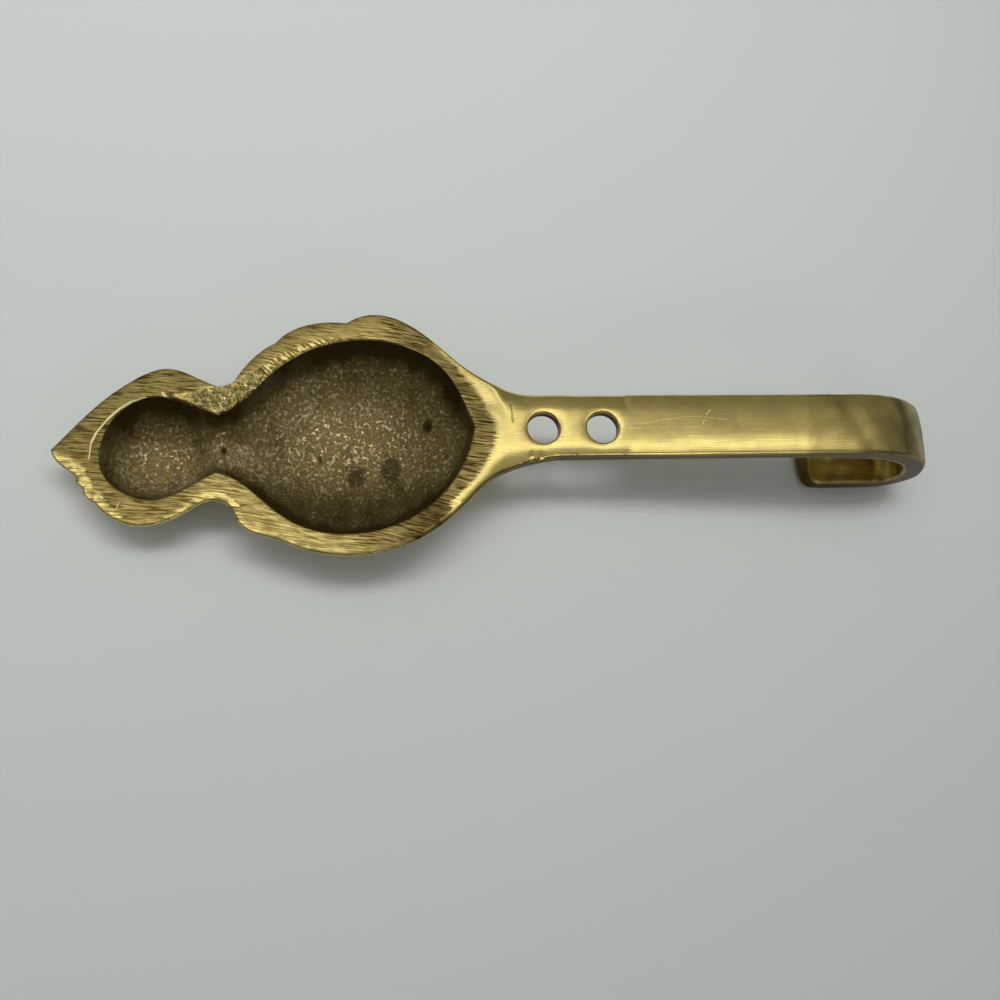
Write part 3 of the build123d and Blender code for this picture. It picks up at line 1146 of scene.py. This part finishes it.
    def loops(self) -> tuple[Array, Array, Array]:
        """Matching closed loops: the figure's edge, the pockets' edge and the spine.

        Each is cut at eight stations on its left (-1) and right (1), and points between two
        stations share the same counts, so the spine's two sides fall together.

        Returns:
            Three arrays of shape (columns, 2), from the tip down the left and up the right.
        """
        z = np.array([self.joint])
        corner_left = (float(self.side(z, -1)[0]), self.joint)
        corner_right = (float(self.side(z, 1)[0]), self.joint)
        middle = ((corner_left[0] + corner_right[0]) / 2, self.joint)
        spine = np.array(
            [
                (3.2, 71.5), (3.2, 71.5), (2.7, 66.0), (2.15, 60.0),
                (1.7, 52.5), (0.9, 38.5), (0.4, 27.0), (0.4, 27.0),
            ]
        )
        outer = {
            -1: [
                self.tip, (-8.9, 73.8), (-9.6, 64.0), (-8.0, 59.5),
                (-14.3, 52.8), (-19.4, 38.6), (-12.1, 19.4), corner_left,
            ],
            1: [
                self.tip, (14.9, 75.4), (13.9, 64.8), (11.9, 60.4),
                (16.9, 55.0), (21.2, 38.5), (13.0, 19.0), corner_right,
            ],
        }
        inner = {
            -1: [
                (3.4, 78.5), (-4.7, 74.0), (-4.8, 65.2), (-2.9, 59.7),
                (-9.0, 52.4), (-16.0, 38.5), (-11.5, 22.7), (-2.6, 17.5),
            ],
            1: [
                (3.4, 78.5), (11.1, 73.0), (10.8, 66.6), (7.2, 60.0),
                (12.7, 51.8), (17.9, 38.5), (12.0, 23.4), (1.9, 17.5),
            ],
        }
        counts = (74, 44, 26, 44, 66, 86, 50)
        shares = self.strap.across()
        shares = 1.0 + shares[shares <= 0.0]
        sides: dict[int, list[Array]] = {-1: [], 1: []}
        for sign, edge, pocket in ((-1, self.left, self.pocket_left), (1, self.right, self.pocket_right)):
            corner = np.array(outer[sign][-1])
            edge = np.vstack((edge[edge[:, 1] > self.joint], [corner]))
            rows: list[list[Array]] = [[], [], []]
            for k, count in enumerate(counts):
                t = np.arange(count) / count
                rows[0].append(stretch(edge, outer[sign][k], outer[sign][k + 1], t))
                rows[1].append(stretch(pocket, inner[sign][k], inner[sign][k + 1], t))
                rows[2].append(spine[k] + t[:, None] * (spine[k + 1] - spine[k]))
            rows[0].append(corner + shares[:, None] * (np.array(middle) - corner))
            rows[1].append(stretch(pocket, inner[sign][-1], tuple(pocket[-1]), shares))
            rows[2].append(np.tile(spine[-1], (len(shares), 1)))
            sides[sign] = [np.vstack(row) for row in rows]
        return tuple(np.vstack((left, right[-2:0:-1])) for left, right in zip(sides[-1], sides[1]))

    def figure(self) -> list[Patch]:
        """Back rim, pockets, front and side of the figure, on rings between its loops.

        Returns:
            Four patches. The rim's last row and the pockets' first are the same places.
        """
        edge, pocket, spine = self.loops()
        width = np.linalg.norm(edge - pocket, axis=1)
        shares = ring_shares(width, (0.0, 0.03, 0.08, 0.2, 0.36, 0.45, 0.7, 1.1), 12, (0.45, 0.2, 0.08, 0.0))
        plan = edge + shares[..., None] * (pocket - edge)
        brink = distance_to(self.pocket, plan)
        fall = self.back_fall(plan) + 0.12 * np.exp(-brink / 0.12)
        rim = self.plan_patch(plan, fall, self.layers_of(plan), Finish.WORKED)

        depth = np.linalg.norm(pocket - spine, axis=1)
        shares = ring_shares(depth, (0.0, 0.05, 0.12, 0.22, 0.36, 0.55, 0.8, 1.1, 1.5, 2.0), 17, (0.3, 0.0))
        inside = pocket + shares[..., None] * (spine - pocket)
        gap = distance_to(self.pocket, inside)
        hollow = self.hollow(inside, gap)
        brim = fall[-1]
        hollow = brim + (hollow - brim) * ramp(gap, 0.0, 0.02)
        hollow[0] = brim
        layers = self.bare(inside, 0.0) | {Layer.STAIN_AND_SHADE: self.shade_and_stains(inside)}
        bowl = self.plan_patch(inside, hollow, layers, Finish.CAST)

        reach = np.linalg.norm(edge - spine, axis=1)
        shares = ring_shares(reach, (0.0, 0.04, 0.12, 0.24, 0.42, 0.66, 1.0, 1.5, 2.1), 16, (0.3, 0.0))
        plan = edge + shares[..., None] * (spine - edge)
        layers = self.bare(plan, self.front_tarnish)
        face = self.plan_patch(plan, self.front_fall(plan), layers, Finish.WORKED)

        at_joint = np.flatnonzero(np.abs(edge[:, 1] - self.joint) < 1e-9)
        border = np.vstack((edge[at_joint[-1] :], edge[: at_joint[0] + 1]))
        return [self.closed(rim), self.closed(bowl), self.flipped(self.closed(face)), self.side_strip(border)]

    def hollow(self, plan: Array, gap: Array) -> Array:
        """Depth of the pockets: the two bowls, cut off by a steep wall at the brink.

        The bowls join as the root of their squares. The wall is 6 mm down for each mm in, and
        wall and floor meet in a soft minimum, the inverse fourth root of the sum of their
        inverse fourth powers.

        Args:
            plan: Plan places inside the brink.
            gap: Their distance from the brink.

        Returns:
            Depths below the wall plane.
        """
        x, z = plan[..., 0], plan[..., 1]
        body, head = (bowl.over(plan) for bowl in self.bowls)
        floor = np.hypot(body, head)
        wall = 6.0 * gap + 0.05
        depth = (wall**-4.0 + np.maximum(floor, 0.3) ** -4.0) ** -0.25
        lumps = 0.10 * ripple(x, z, 3.2, 41) + 0.05 * ripple(x, z, 1.5, 42)
        return depth + lumps * ramp(gap, 2.5, 5.0)

    def shade_and_stains(self, plan: Array) -> Array:
        """Painted shade and sheen in the pockets, with real staining, 0 to 1.

        The floors are painted darker away from their middles, which stay bright as a painted
        sheen: one less a bell, exp(-|dx|^3 - |dz|^3) over its half sizes, about each middle. The
        left side and the neck's top get more painted shade, and so do the brink and the right
        wall. Six dark spots, each a bell cut off flat, and a dark run are added as real staining.

        Args:
            plan: Plan places inside the brink.

        Returns:
            Painted shade and staining from 0 to 1.
        """
        x, z = plan[..., 0], plan[..., 1]
        gap = distance_to(self.pocket, plan)
        lit_middles = ((-1.5, 40.0, 8.5, 12.0), (4.5, 69.5, 5.2, 6.2), (3.5, 57.5, 2.2, 6.0))
        spots = (
            (-3.3, 24.7, 1.25, 1.0), (2.0, 43.8, 0.5, 1.0), (2.9, 59.1, 0.6, 1.0),
            (4.3, 31.3, 2.2, 0.75), (5.7, 37.5, 1.9, 0.75), (8.3, 30.0, 1.4, 0.75),
        )
        lit_share = np.zeros_like(x)
        # Painted sheen: each bell keeps a floor's middle bright.
        for px, pz, wide, tall in lit_middles:
            lit_share = np.maximum(lit_share, np.exp(-(np.abs((x - px) / wide) ** 3) - np.abs((z - pz) / tall) ** 3))
        # Painted shade: darker on the left side, at the neck's top, at the brink and on the right wall.
        left = np.maximum(ramp(x, 1.0, -9.0), ramp(z, 52.0, 57.0) * ramp(x, 3.0, -1.0))
        dull = (0.56 + 0.3 * left) * (0.85 + 0.08 * ripple(x, z, 4.5, 51))
        stain = (1.0 - lit_share) * (dull + 0.35 * ramp(gap, 3.5, 0.3) + 0.32 * ramp(x, 5.0, 11.0))
        for px, pz, size, most in spots:
            spot = np.exp(-(((x - px) / size) ** 2 + ((z - pz) / (size * 0.7)) ** 2))
            stain = np.maximum(stain, np.minimum(1.8 * spot, most))
        run = self.along_line(plan, [(13.5, 40.8, 0.3), (13.8, 37.1, 0.4), (13.3, 33.7, 0.3)])
        return np.clip(np.maximum(stain, 0.9 * np.exp(-(run**2))), 0.0, 1.0)

    def closed(self, patch: Patch) -> Patch:
        """The same patch with its first column repeated after its last."""
        return patch.recolumned(np.append(np.arange(patch.places.shape[1]), 0))

    def flipped(self, patch: Patch) -> Patch:
        """The same patch with its columns in reverse, which turns its faces over."""
        return patch.recolumned(np.arange(patch.places.shape[1])[::-1])

    def side_strip(self, border: Array) -> Patch:
        """The side of the casting along a run of its edge, from the back's brink to the front's.

        Args:
            border: Points of the edge in order, the back's outline walked anticlockwise
                as seen from the wall.

        Returns:
            A patch with a row at each of DEPTHS.
        """
        back, front = self.back_fall(border), self.front_fall(border)
        t = np.array(DEPTHS)[:, None]
        fall = back + (front - back) * t
        plan = np.broadcast_to(border, (len(t), *border.shape))
        # The sides are tarnished, and on the strap painted dark brown: tarnish and painted shade in place of
        # the shadowed board that they mirror.
        tarnish = 0.35 + 0.6 * self.strapness(plan[..., 1])
        return self.flipped(self.plan_patch(plan, fall, self.bare(plan, tarnish), Finish.WORKED))

    def hole_block(self, low: float, high: float, centre: float) -> list[Patch]:
        """A length of the strap round one screw hole.

        Back and front are rings from the hole's circle to the block's four edges, along
        rays from the hole's centre. The outer rings lie at set distances from the edges, so
        beside the hole the way along a slanting ray is longer, by one over its part across.

        Args:
            low: Height of the block's lower end.
            high: Height of its upper end.
            centre: Height of the hole.

        Returns:
            Back, front, bore and both sides.
        """
        across = self.strap.across()
        rows = np.linspace(low, high, 25)

        def edge_row(z: float) -> Array:
            """The points across the strap at one height."""
            left, right = (float(self.side(np.array([z]), s)[0]) for s in (-1, 1))
            x = (left + right) / 2 + (right - left) / 2 * across
            return np.stack((x, np.full_like(across, z)), axis=-1)

        right_side = np.stack((self.side(rows, 1), rows), axis=-1)
        left_side = np.stack((self.side(rows, -1), rows), axis=-1)
        border = np.vstack((edge_row(low), right_side[1:-1], edge_row(high)[::-1], left_side[-2:0:-1]))
        ray = border - np.array([0.0, centre])
        length = np.linalg.norm(ray, axis=1)
        ray = ray / length[:, None]
        reach = length - self.strap.hole
        outer = (0.6, 0.44, 0.36, 0.08, 0.03, 0.0)
        shares = ring_shares(reach, (0.0, 0.04, 0.1, 0.18, 0.27, 0.36, 0.6), 8, outer)
        beside = (border[:, 1] > low) & (border[:, 1] < high)
        lean = np.where(beside, 1.0 / np.maximum(np.abs(ray[:, 0]), 0.5), 1.0)
        shares[-len(outer) :] = 1.0 - np.array(outer)[:, None] * lean / reach
        out = self.strap.hole + shares * reach
        plan = out[..., None] * ray + np.array([0.0, centre])
        plan[-1] = border
        back = self.plan_patch(plan, self.back_fall(plan), self.layers_of(plan), Finish.WORKED)
        layers = self.bare(plan, self.front_tarnish)
        front = self.plan_patch(plan, self.front_fall(plan), layers, Finish.WORKED)
        t = np.linspace(0.0, 1.0, 7)[:, None]
        near, far = -back.places[0, :, 1], -front.places[0, :, 1]
        circle = np.broadcast_to(plan[0], (len(t), *plan[0].shape))
        # The bore is fully tarnished: tarnish, and painted shade inside the hole.
        bore = self.plan_patch(circle, near + (far - near) * t, self.bare(circle, 1.0), Finish.WORKED)
        return [
            self.flipped(self.closed(back)),
            self.closed(front),
            self.closed(bore),
            self.side_strip(left_side[::-1]),
            self.side_strip(right_side),
        ]

    def strap_section(self, half: Array, thick: Array, along: Array) -> tuple[Array, Array, Array]:
        """The strap's section at several places along it.

        Args:
            half: Half width at each place.
            thick: Thickness at each place.
            along: Length coordinate of each place, which the unevenness follows.

        Returns:
            x, back fall and front fall, each of shape (places, across).
        """
        strap = self.strap
        across = strap.across()
        x = strap.centre + half[:, None] * across
        gap = half[:, None] * (1.0 - np.abs(across))
        z = np.broadcast_to(along[:, None], x.shape)
        back = strap.edge_fall(gap) + strap.crown * (1.0 - np.minimum(gap / (strap.width / 2), 1.0)) ** 3
        back += 0.02 * (1.0 + ripple(x, z, 9.0, 11)) + 0.006 * (1.0 + ripple(x, z, 2.2, 12)) * 0.4
        front = thick[:, None] - rounding(gap, strap.front_round) - 0.02 * (1.0 + ripple(x, z, 7.0, 21))
        return x, back, front

    def sleeve(
        self, x: Array, back: Array, front: Array, carry: Callable[[Array], Array], along: Array
    ) -> list[Patch]:
        """Back, front and both sides of a run of strap.

        Args:
            x: Places across, of shape (places, across).
            back: Back fall in that shape.
            front: Front fall in that shape.
            carry: Turns falls of that shape into (y, z) places.
            along: Length coordinates for the grain.

        Returns:
            Four patches.
        """
        z = np.broadcast_to(along[:, None], x.shape)

        def patch(xs: Array, falls: Array, tarnish: Array | float) -> Patch:
            """Patch at depths below the back face.

            Args:
                xs: Places across.
                falls: Depths, in that shape.
                tarnish: Tarnish of each place, or of all.

            Returns:
                The patch.
            """
            yz = carry(falls)
            places = np.stack((xs, yz[..., 0], yz[..., 1]), axis=-1)
            grain = self.grain_of(np.stack((xs, np.broadcast_to(along[:, None], xs.shape)), axis=-1))
            return Patch(places, grain, self.bare(places, tarnish))

        worn = self.tarnish_along(x, z)
        sides = []
        for column in (0, -1):
            near, far = back[:, column, None], front[:, column, None]
            falls = near + (far - near) * np.array(DEPTHS)
            edge = np.broadcast_to(x[:, column, None], falls.shape)
            # The strap's sides are painted dark brown: tarnish and painted shade in place of the shadowed
            # board that they mirror.
            sides.append(patch(edge, falls, 0.92 + 0.05 * worn[:, column, None]))
        mottled = ripple(x, z, 4.0, 63) * ramp(z, -54.0, -60.0)
        inside = np.clip(0.2 + 0.4 * worn + 0.16 * mottled, 0.0, 1.0)
        return [self.flipped(patch(x, back, worn)), patch(x, front, inside), sides[0], self.flipped(sides[1])]

    def tarnish_along(self, x: Array, z: Array) -> Array:
        """Tarnish of the strap's back.

        There is none above a ragged line a little before the bend. From there on it is
        patchy, with a slanting dark band, a fine dark line and a darker end.

        Args:
            x: Places across.
            z: Length coordinates, in that shape.

        Returns:
            Tarnish from 0 to 1.
        """
        patchy = 0.5 + 0.35 * ripple(x, z, 5.0, 61)
        depth = ramp(z + 0.4 * ripple(x, z, 2.5, 62), -41.9, -43.3)
        dark = np.exp(-(((z + 50.5 + 0.5 * x) / 1.6) ** 2)) + np.exp(-(((z + 62.0) / 0.35) ** 2))
        return np.clip(depth * (0.15 + 0.3 * patchy) + 0.3 * dark + 0.35 * ramp(z, -60.0, -70.0), 0.0, 1.0)

    def straight(self, top: float) -> list[Patch]:
        """The strap from the lower hole's block down to where it leaves the wall.

        Args:
            top: Height at which the lower hole's block ends.

        Returns:
            Back, front and both sides.
        """
        strap = self.strap
        rows = np.linspace(top, -strap.drop, 70)
        half = np.full_like(rows, strap.width / 2)
        thick = np.interp(rows, (-strap.drop, strap.swell - strap.drop), (strap.turn_thick, strap.thick))
        x, back, front = self.strap_section(half, thick, rows)
        plan = np.stack((x[:1], np.broadcast_to(rows[:1, None], x[:1].shape)), axis=-1)
        back[0], front[0] = self.back_fall(plan)[0], self.front_fall(plan)[0]

        def carry(falls: Array) -> Array:
            """(y, z) places at depths below the back face."""
            return np.stack((-falls, np.broadcast_to(rows[:, None], falls.shape)), axis=-1)

        return self.sleeve(x, back, front, carry, rows)

    def turn(self) -> list[Patch]:
        """The J: the strap's section carried round its route, and the face of its free end.

        At turn angle a the metal lies along (-cos a, sin a) from the back face. Near the
        free end the half width shrinks as a quarter circle, which rounds its corners, and
        both faces are rounded down to the end's face.

        Returns:
            Back, front, both sides and the end.
        """
        strap = self.strap
        way, angle, length, thick = strap.route()
        left_over = length[-1] - length
        reach = np.clip(strap.tip_corner - left_over, 0.0, strap.tip_corner)
        half = strap.width / 2 - (strap.tip_corner - np.sqrt(strap.tip_corner**2 - reach**2))
        along = -strap.drop - length
        x, back, front = self.strap_section(half, thick, along)
        soft = rounding(left_over, 0.3)[:, None]
        middle = (back + front) / 2
        back, front = np.minimum(back + soft, middle), np.maximum(front - soft, middle)
        normal = np.stack((-np.cos(angle), np.sin(angle)), axis=-1)

        def carry(falls: Array) -> Array:
            """(y, z) places at depths below the back face."""
            return way[:, None, :] + falls[..., None] * normal[:, None, :]

        t = np.array(DEPTHS)[:, None]
        falls = back[-1] + (front[-1] - back[-1]) * t
        yz = way[-1] + falls[..., None] * normal[-1]
        xs = np.broadcast_to(x[-1], falls.shape)
        places = np.stack((xs, yz[..., 0], yz[..., 1]), axis=-1)
        grain = self.grain_of(np.stack((xs, np.full_like(xs, along[-1])), axis=-1))
        # The free end is painted dark brown like the sides: tarnish and painted shade.
        end = Patch(places, grain, self.bare(places, 0.9))
        return [*self.sleeve(x, back, front, carry, along), self.flipped(end)]

    def build(self) -> bpy.types.Object:
        """Makes the casting from its patches.

        Returns:
            The finished object, at the origin, with its materials and layers.
        """
        offset = self.strap.hole_offset
        blocks_end = 1.0 - 2.0 * offset
        patches = [
            *self.figure(),
            *self.hole_block(0.0, self.joint, offset),
            *self.hole_block(blocks_end, 0.0, -offset),
            *self.straight(blocks_end),
            *self.turn(),
        ]
        return skin("hook_casting", patches, [WorkedBrass().build(), CastBrass().build()])


def skin(name: str, patches: list[Patch], materials: list[bpy.types.Material]) -> bpy.types.Object:
    """Joins patches into one mesh object in metres.

    The cells of each grid become quads, points that fall together are merged and share the
    mean of their layers, cells with no area are dropped, and every point is kept inside the
    CAD model's box.

    Args:
        name: Name of the object and mesh.
        patches: The grids, neighbours sharing their edge points.
        materials: Material for each Finish, in order.

    Returns:
        The object, linked to the scene.
    """
    places, grains, quads, finishes = [], [], [], []
    layers: dict[Layer, list[Array]] = {layer: [] for layer in Layer}
    start = 0
    for patch in patches:
        rows, columns = patch.places.shape[:2]
        index = start + np.arange(rows * columns).reshape(rows, columns)
        cells = np.stack((index[:-1, :-1], index[1:, :-1], index[1:, 1:], index[:-1, 1:]), axis=-1)
        quads.append(cells.reshape(-1, 4))
        finishes.append(np.full(len(quads[-1]), patch.finish.value, dtype=np.int32))
        places.append(patch.places.reshape(-1, 3))
        grains.append(patch.grain.reshape(-1, 2))
        for layer in Layer:
            layers[layer].append(np.broadcast_to(patch.layers[layer], (rows, columns)).reshape(-1))
        start += rows * columns
    points = np.clip(np.vstack(places) * MM, *CAD_BOX)
    quad, finish, grain = np.vstack(quads), np.concatenate(finishes), np.vstack(grains)

    _, shared = np.unique(np.round(points / MERGE).astype(np.int64), axis=0, return_inverse=True)
    shared = shared.reshape(-1)
    crowd = np.bincount(shared)

    mesh = bpy.data.meshes.new(name)
    mesh.from_pydata(points, [], quad)
    mesh.polygons.foreach_set("material_index", finish)
    mesh.polygons.foreach_set("use_smooth", np.ones(len(quad), dtype=bool))
    corners = mesh.uv_layers.new(name=GRAIN_MAP)
    corners.uv.foreach_set("vector", grain[quad.reshape(-1)].astype(np.float32).reshape(-1))
    for layer in Layer:
        held = mesh.attributes.new(layer.value, "FLOAT", "POINT")
        values = np.bincount(shared, weights=np.concatenate(layers[layer])) / crowd
        held.data.foreach_set("value", values[shared].astype(np.float32))
    for material in materials:
        mesh.materials.append(material)
    work = bmesh.new()
    work.from_mesh(mesh)
    bmesh.ops.remove_doubles(work, verts=work.verts, dist=MERGE)
    bmesh.ops.dissolve_degenerate(work, edges=work.edges, dist=MERGE / 4)
    open_edges = sum(1 for edge in work.edges if not edge.is_manifold)
    work.to_mesh(mesh)
    work.free()
    mesh.update()
    piece = bpy.data.objects.new(name, mesh)
    bpy.context.scene.collection.objects.link(piece)
    triangles = sum(len(face.vertices) - 2 for face in mesh.polygons)
    LOG.info("%s: %d patches, %d triangles, %d open edges", name, len(patches), triangles, open_edges)
    return piece


# ---------------------------------------------------------------- stage, light and camera


@dataclass(frozen=True)
class Table:
    """The pale board that the hook lies on, touching its front at the body's dome and the J.

    Attributes:
        colour: The board's paint.
        reach: Half its side in metres.
        middle: Height in metres of the hook's middle, where its weight bears.
    """

    colour: str = "#D3D7D5"
    reach: float = 1.6
    middle: float = 0.012

    def build(self, piece: bpy.types.Object) -> bpy.types.Object:
        """Makes the board under the hook.

        The board is the plane y = a + b z that the casting would come to rest on: of all the
        planes just below its points, the highest under its middle. It is seen from the side
        of the hook only, so that views from behind the board show the hook's front.

        Args:
            piece: The casting.

        Returns:
            The board.
        """
        places = np.empty(len(piece.data.vertices) * 3, dtype=np.float32)
        piece.data.vertices.foreach_get("co", places)
        _, y, z = places.reshape(-1, 3).astype(float).T
        slopes = np.linspace(-0.3, 0.3, 241)
        rests = np.array([(y - slope * z).min() for slope in slopes])
        best = int(np.argmax(rests + slopes * self.middle))
        base, slope = float(rests[best]), float(slopes[best])
        mesh = bpy.data.meshes.new("table")
        r = self.reach
        corners = [(x, base + slope * h, h) for x, h in ((-r, -r), (-r, r), (r, r), (r, -r))]
        mesh.from_pydata(corners, [], [(0, 1, 2, 3)])
        mesh.materials.append(self.finish())
        board = bpy.data.objects.new("table", mesh)
        bpy.context.scene.collection.objects.link(board)
        LOG.info("table: y = %.2f mm %+.4f z", base / MM, slope)
        return board

    def finish(self) -> bpy.types.Material:
        """Matt pale board, clear from behind and to light that has passed through it.

        Returns:
            The material.
        """
        material = empty_material("pale_board")
        tree = material.node_tree
        behind = add_node(tree, "ShaderNodeNewGeometry", output="Backfacing")
        passed = add_node(tree, "ShaderNodeLightPath", output="Transparent Depth")
        clear = add_node(tree, "ShaderNodeMath", {0: behind, 1: passed}, operation="ADD", use_clamp=True)
        matt = add_node(tree, "ShaderNodeBsdfDiffuse", {"Color": linear(self.colour)})
        glass = add_node(tree, "ShaderNodeBsdfTransparent")
        mixed = add_node(tree, "ShaderNodeMixShader", {0: clear, 1: matt, 2: glass})
        add_node(tree, "ShaderNodeOutputMaterial", {"Surface": mixed})
        return material


# Middle of the hook in metres, which the lamps stand round.
HOOK_MIDDLE = (0.0, -0.01, 0.01)


@dataclass(frozen=True)
class Softbox:
    """An oblong area lamp that faces the hook.

    Attributes:
        name: Name of the lamp.
        towards: Direction from the hook to the lamp.
        away: Distance in metres.
        wide: Size in metres across the hook's length.
        long: Size in metres along the hook's length.
        power: Power in watts.
        mirrored: Whether metal mirrors it. A lamp that only draws the shadow or fills it is
            not mirrored, as crossed polarisers would have it.
        aim: Place in metres that it faces; off the hook, it lights the board unevenly.
        spread: Angle in degrees past which it gives no light.
    """

    name: str
    towards: tuple[float, float, float]
    away: float
    wide: float
    long: float
    power: float
    mirrored: bool = True
    aim: tuple[float, float, float] = HOOK_MIDDLE
    spread: float = 180.0

    def build(self) -> bpy.types.Object:
        """Makes the lamp and turns it to its aim, its long side near the Z axis.

        Returns:
            The lamp, linked to the scene.
        """
        lamp = bpy.data.lights.new(self.name, "AREA")
        lamp.shape, lamp.size, lamp.size_y, lamp.energy = "RECTANGLE", self.wide, self.long, self.power
        lamp.spread = math.radians(self.spread)
        holder = bpy.data.objects.new(self.name, lamp)
        holder.visible_glossy = self.mirrored
        place = Vector(HOOK_MIDDLE) + Vector(self.towards).normalized() * self.away
        heading = (place - Vector(self.aim)).normalized()
        side = heading.cross(Vector((0.0, 0.0, 1.0))).normalized()
        turn = Matrix((side, heading.cross(side), heading)).transposed().to_4x4()
        holder.matrix_world = Matrix.Translation(place) @ turn
        bpy.context.scene.collection.objects.link(holder)
        return holder


@dataclass(frozen=True)
class Studio:
    """The light round the hook and the camera above its back.

    Attributes:
        eye: Place of the camera in mm.
        right: Direction that the camera shows to the right.
        up: Direction that it shows upwards, about square to the one before.
        ceiling: Colour of the room above the hook's back.
        wall: Colour of the walls.
        shade: Colour of the near side, where someone stands.
        front: Colour of the room behind the board.
        lamps: The lamps.
    """

    eye: tuple[float, float, float] = (54.79, 161.03, 33.79)
    right: tuple[float, float, float] = (0.0471, 0.1133, -0.9924)
    up: tuple[float, float, float] = (-0.9669, 0.2545, -0.0168)
    ceiling: str = "#A2A4A0"
    wall: str = "#7C7E7A"
    shade: str = "#4A4845"
    front: str = "#C4C6C4"
    lamps: tuple[Softbox, ...] = (
        Softbox(
            "tube", (-0.19, 0.98, 0.0), 0.55, 0.1, 0.42, 0.425,
            mirrored=False, aim=(-0.16, 0.0, 0.08), spread=90.0,
        ),
        Softbox("glow", (-0.282, 0.95, -0.14), 0.9, 0.148, 0.135, 0.082),
        Softbox("skylight", (-0.445, 1.0, 0.02), 0.9, 0.14, 0.24, 0.11),
        Softbox("band", (-0.113, 0.99, 0.053), 0.9, 0.186, 1.31, 1.01),
        Softbox("window", (0.8, 0.55, -0.25), 0.8, 0.11, 0.42, 0.28),
        Softbox("fill", (0.1, 1.0, 0.1), 1.2, 1.4, 1.4, 1.15, mirrored=False),
        Softbox("front_fill", (-0.3, -0.9, 0.35), 0.9, 0.6, 0.6, 2.0),
    )

    def light(self) -> None:
        """Makes the lamps and the world.

        The world is a room seen by every ray alike: a grey ceiling above the hook's back,
        darker walls lower down and in one upper corner, someone's shade on the near side and
        low down, and the pale room behind the board. Each covers the one before by smooth
        steps of the heading's parts, from the first value to the second.
        """
        for lamp in self.lamps:
            lamp.build()
        world = bpy.data.worlds.new("studio")
        bpy.context.scene.world = world
        world.use_nodes = True
        tree = world.node_tree
        tree.nodes.clear()
        heading = add_node(tree, "ShaderNodeTexCoord", output="Generated")
        room = linear(self.ceiling)
        for colour, *steps in (
            (self.wall, ("Y", 0.9, 0.55)),
            (self.wall, ("X", -0.32, -0.46), ("Z", -0.12, -0.3)),
            (self.shade, ("X", 0.35, 0.7)),
            (self.shade, ("Y", 0.25, 0.0)),
            (self.front, ("Y", -0.1, -0.4)),
        ):
            shares = []
            for axis, start, end in steps:
                part = add_node(tree, "ShaderNodeSeparateXYZ", {0: heading}, axis)
                inputs = {"Value": part, "From Min": start, "From Max": end}
                shares.append(add_node(tree, "ShaderNodeMapRange", inputs, interpolation_type="SMOOTHSTEP"))
            room = coat(tree, room, colour, *shares)
        sky = add_node(tree, "ShaderNodeBackground", {"Color": room, "Strength": 1.0})
        add_node(tree, "ShaderNodeOutputWorld", {"Surface": sky})

    def camera(self) -> None:
        """Makes the camera: square-on lens of 53 degrees, above the hook's back."""
        lens = bpy.data.cameras.new("camera")
        lens.sensor_width = lens.lens = 36.0
        lens.clip_start = 0.01
        holder = bpy.data.objects.new("camera", lens)
        right, up = Vector(self.right).normalized(), Vector(self.up)
        up = (up - right * up.dot(right)).normalized()
        turn = Matrix((right, up, right.cross(up))).transposed().to_4x4()
        holder.matrix_world = Matrix.Translation(Vector(self.eye) * MM) @ turn
        bpy.context.scene.collection.objects.link(holder)
        bpy.context.scene.camera = holder


def main() -> None:
    """Builds the hook, the board under it, the light and the camera."""
    scene = bpy.context.scene
    scene.view_settings.view_transform = "Standard"
    hook = HookCasting().build()
    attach(hook, "root")
    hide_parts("hook")
    Table().build(hook)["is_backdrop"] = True
    studio = Studio()
    studio.light()
    studio.camera()


if __name__ == "__main__":
    logging.basicConfig(level=logging.INFO, format="%(name)s: %(message)s")
    main()
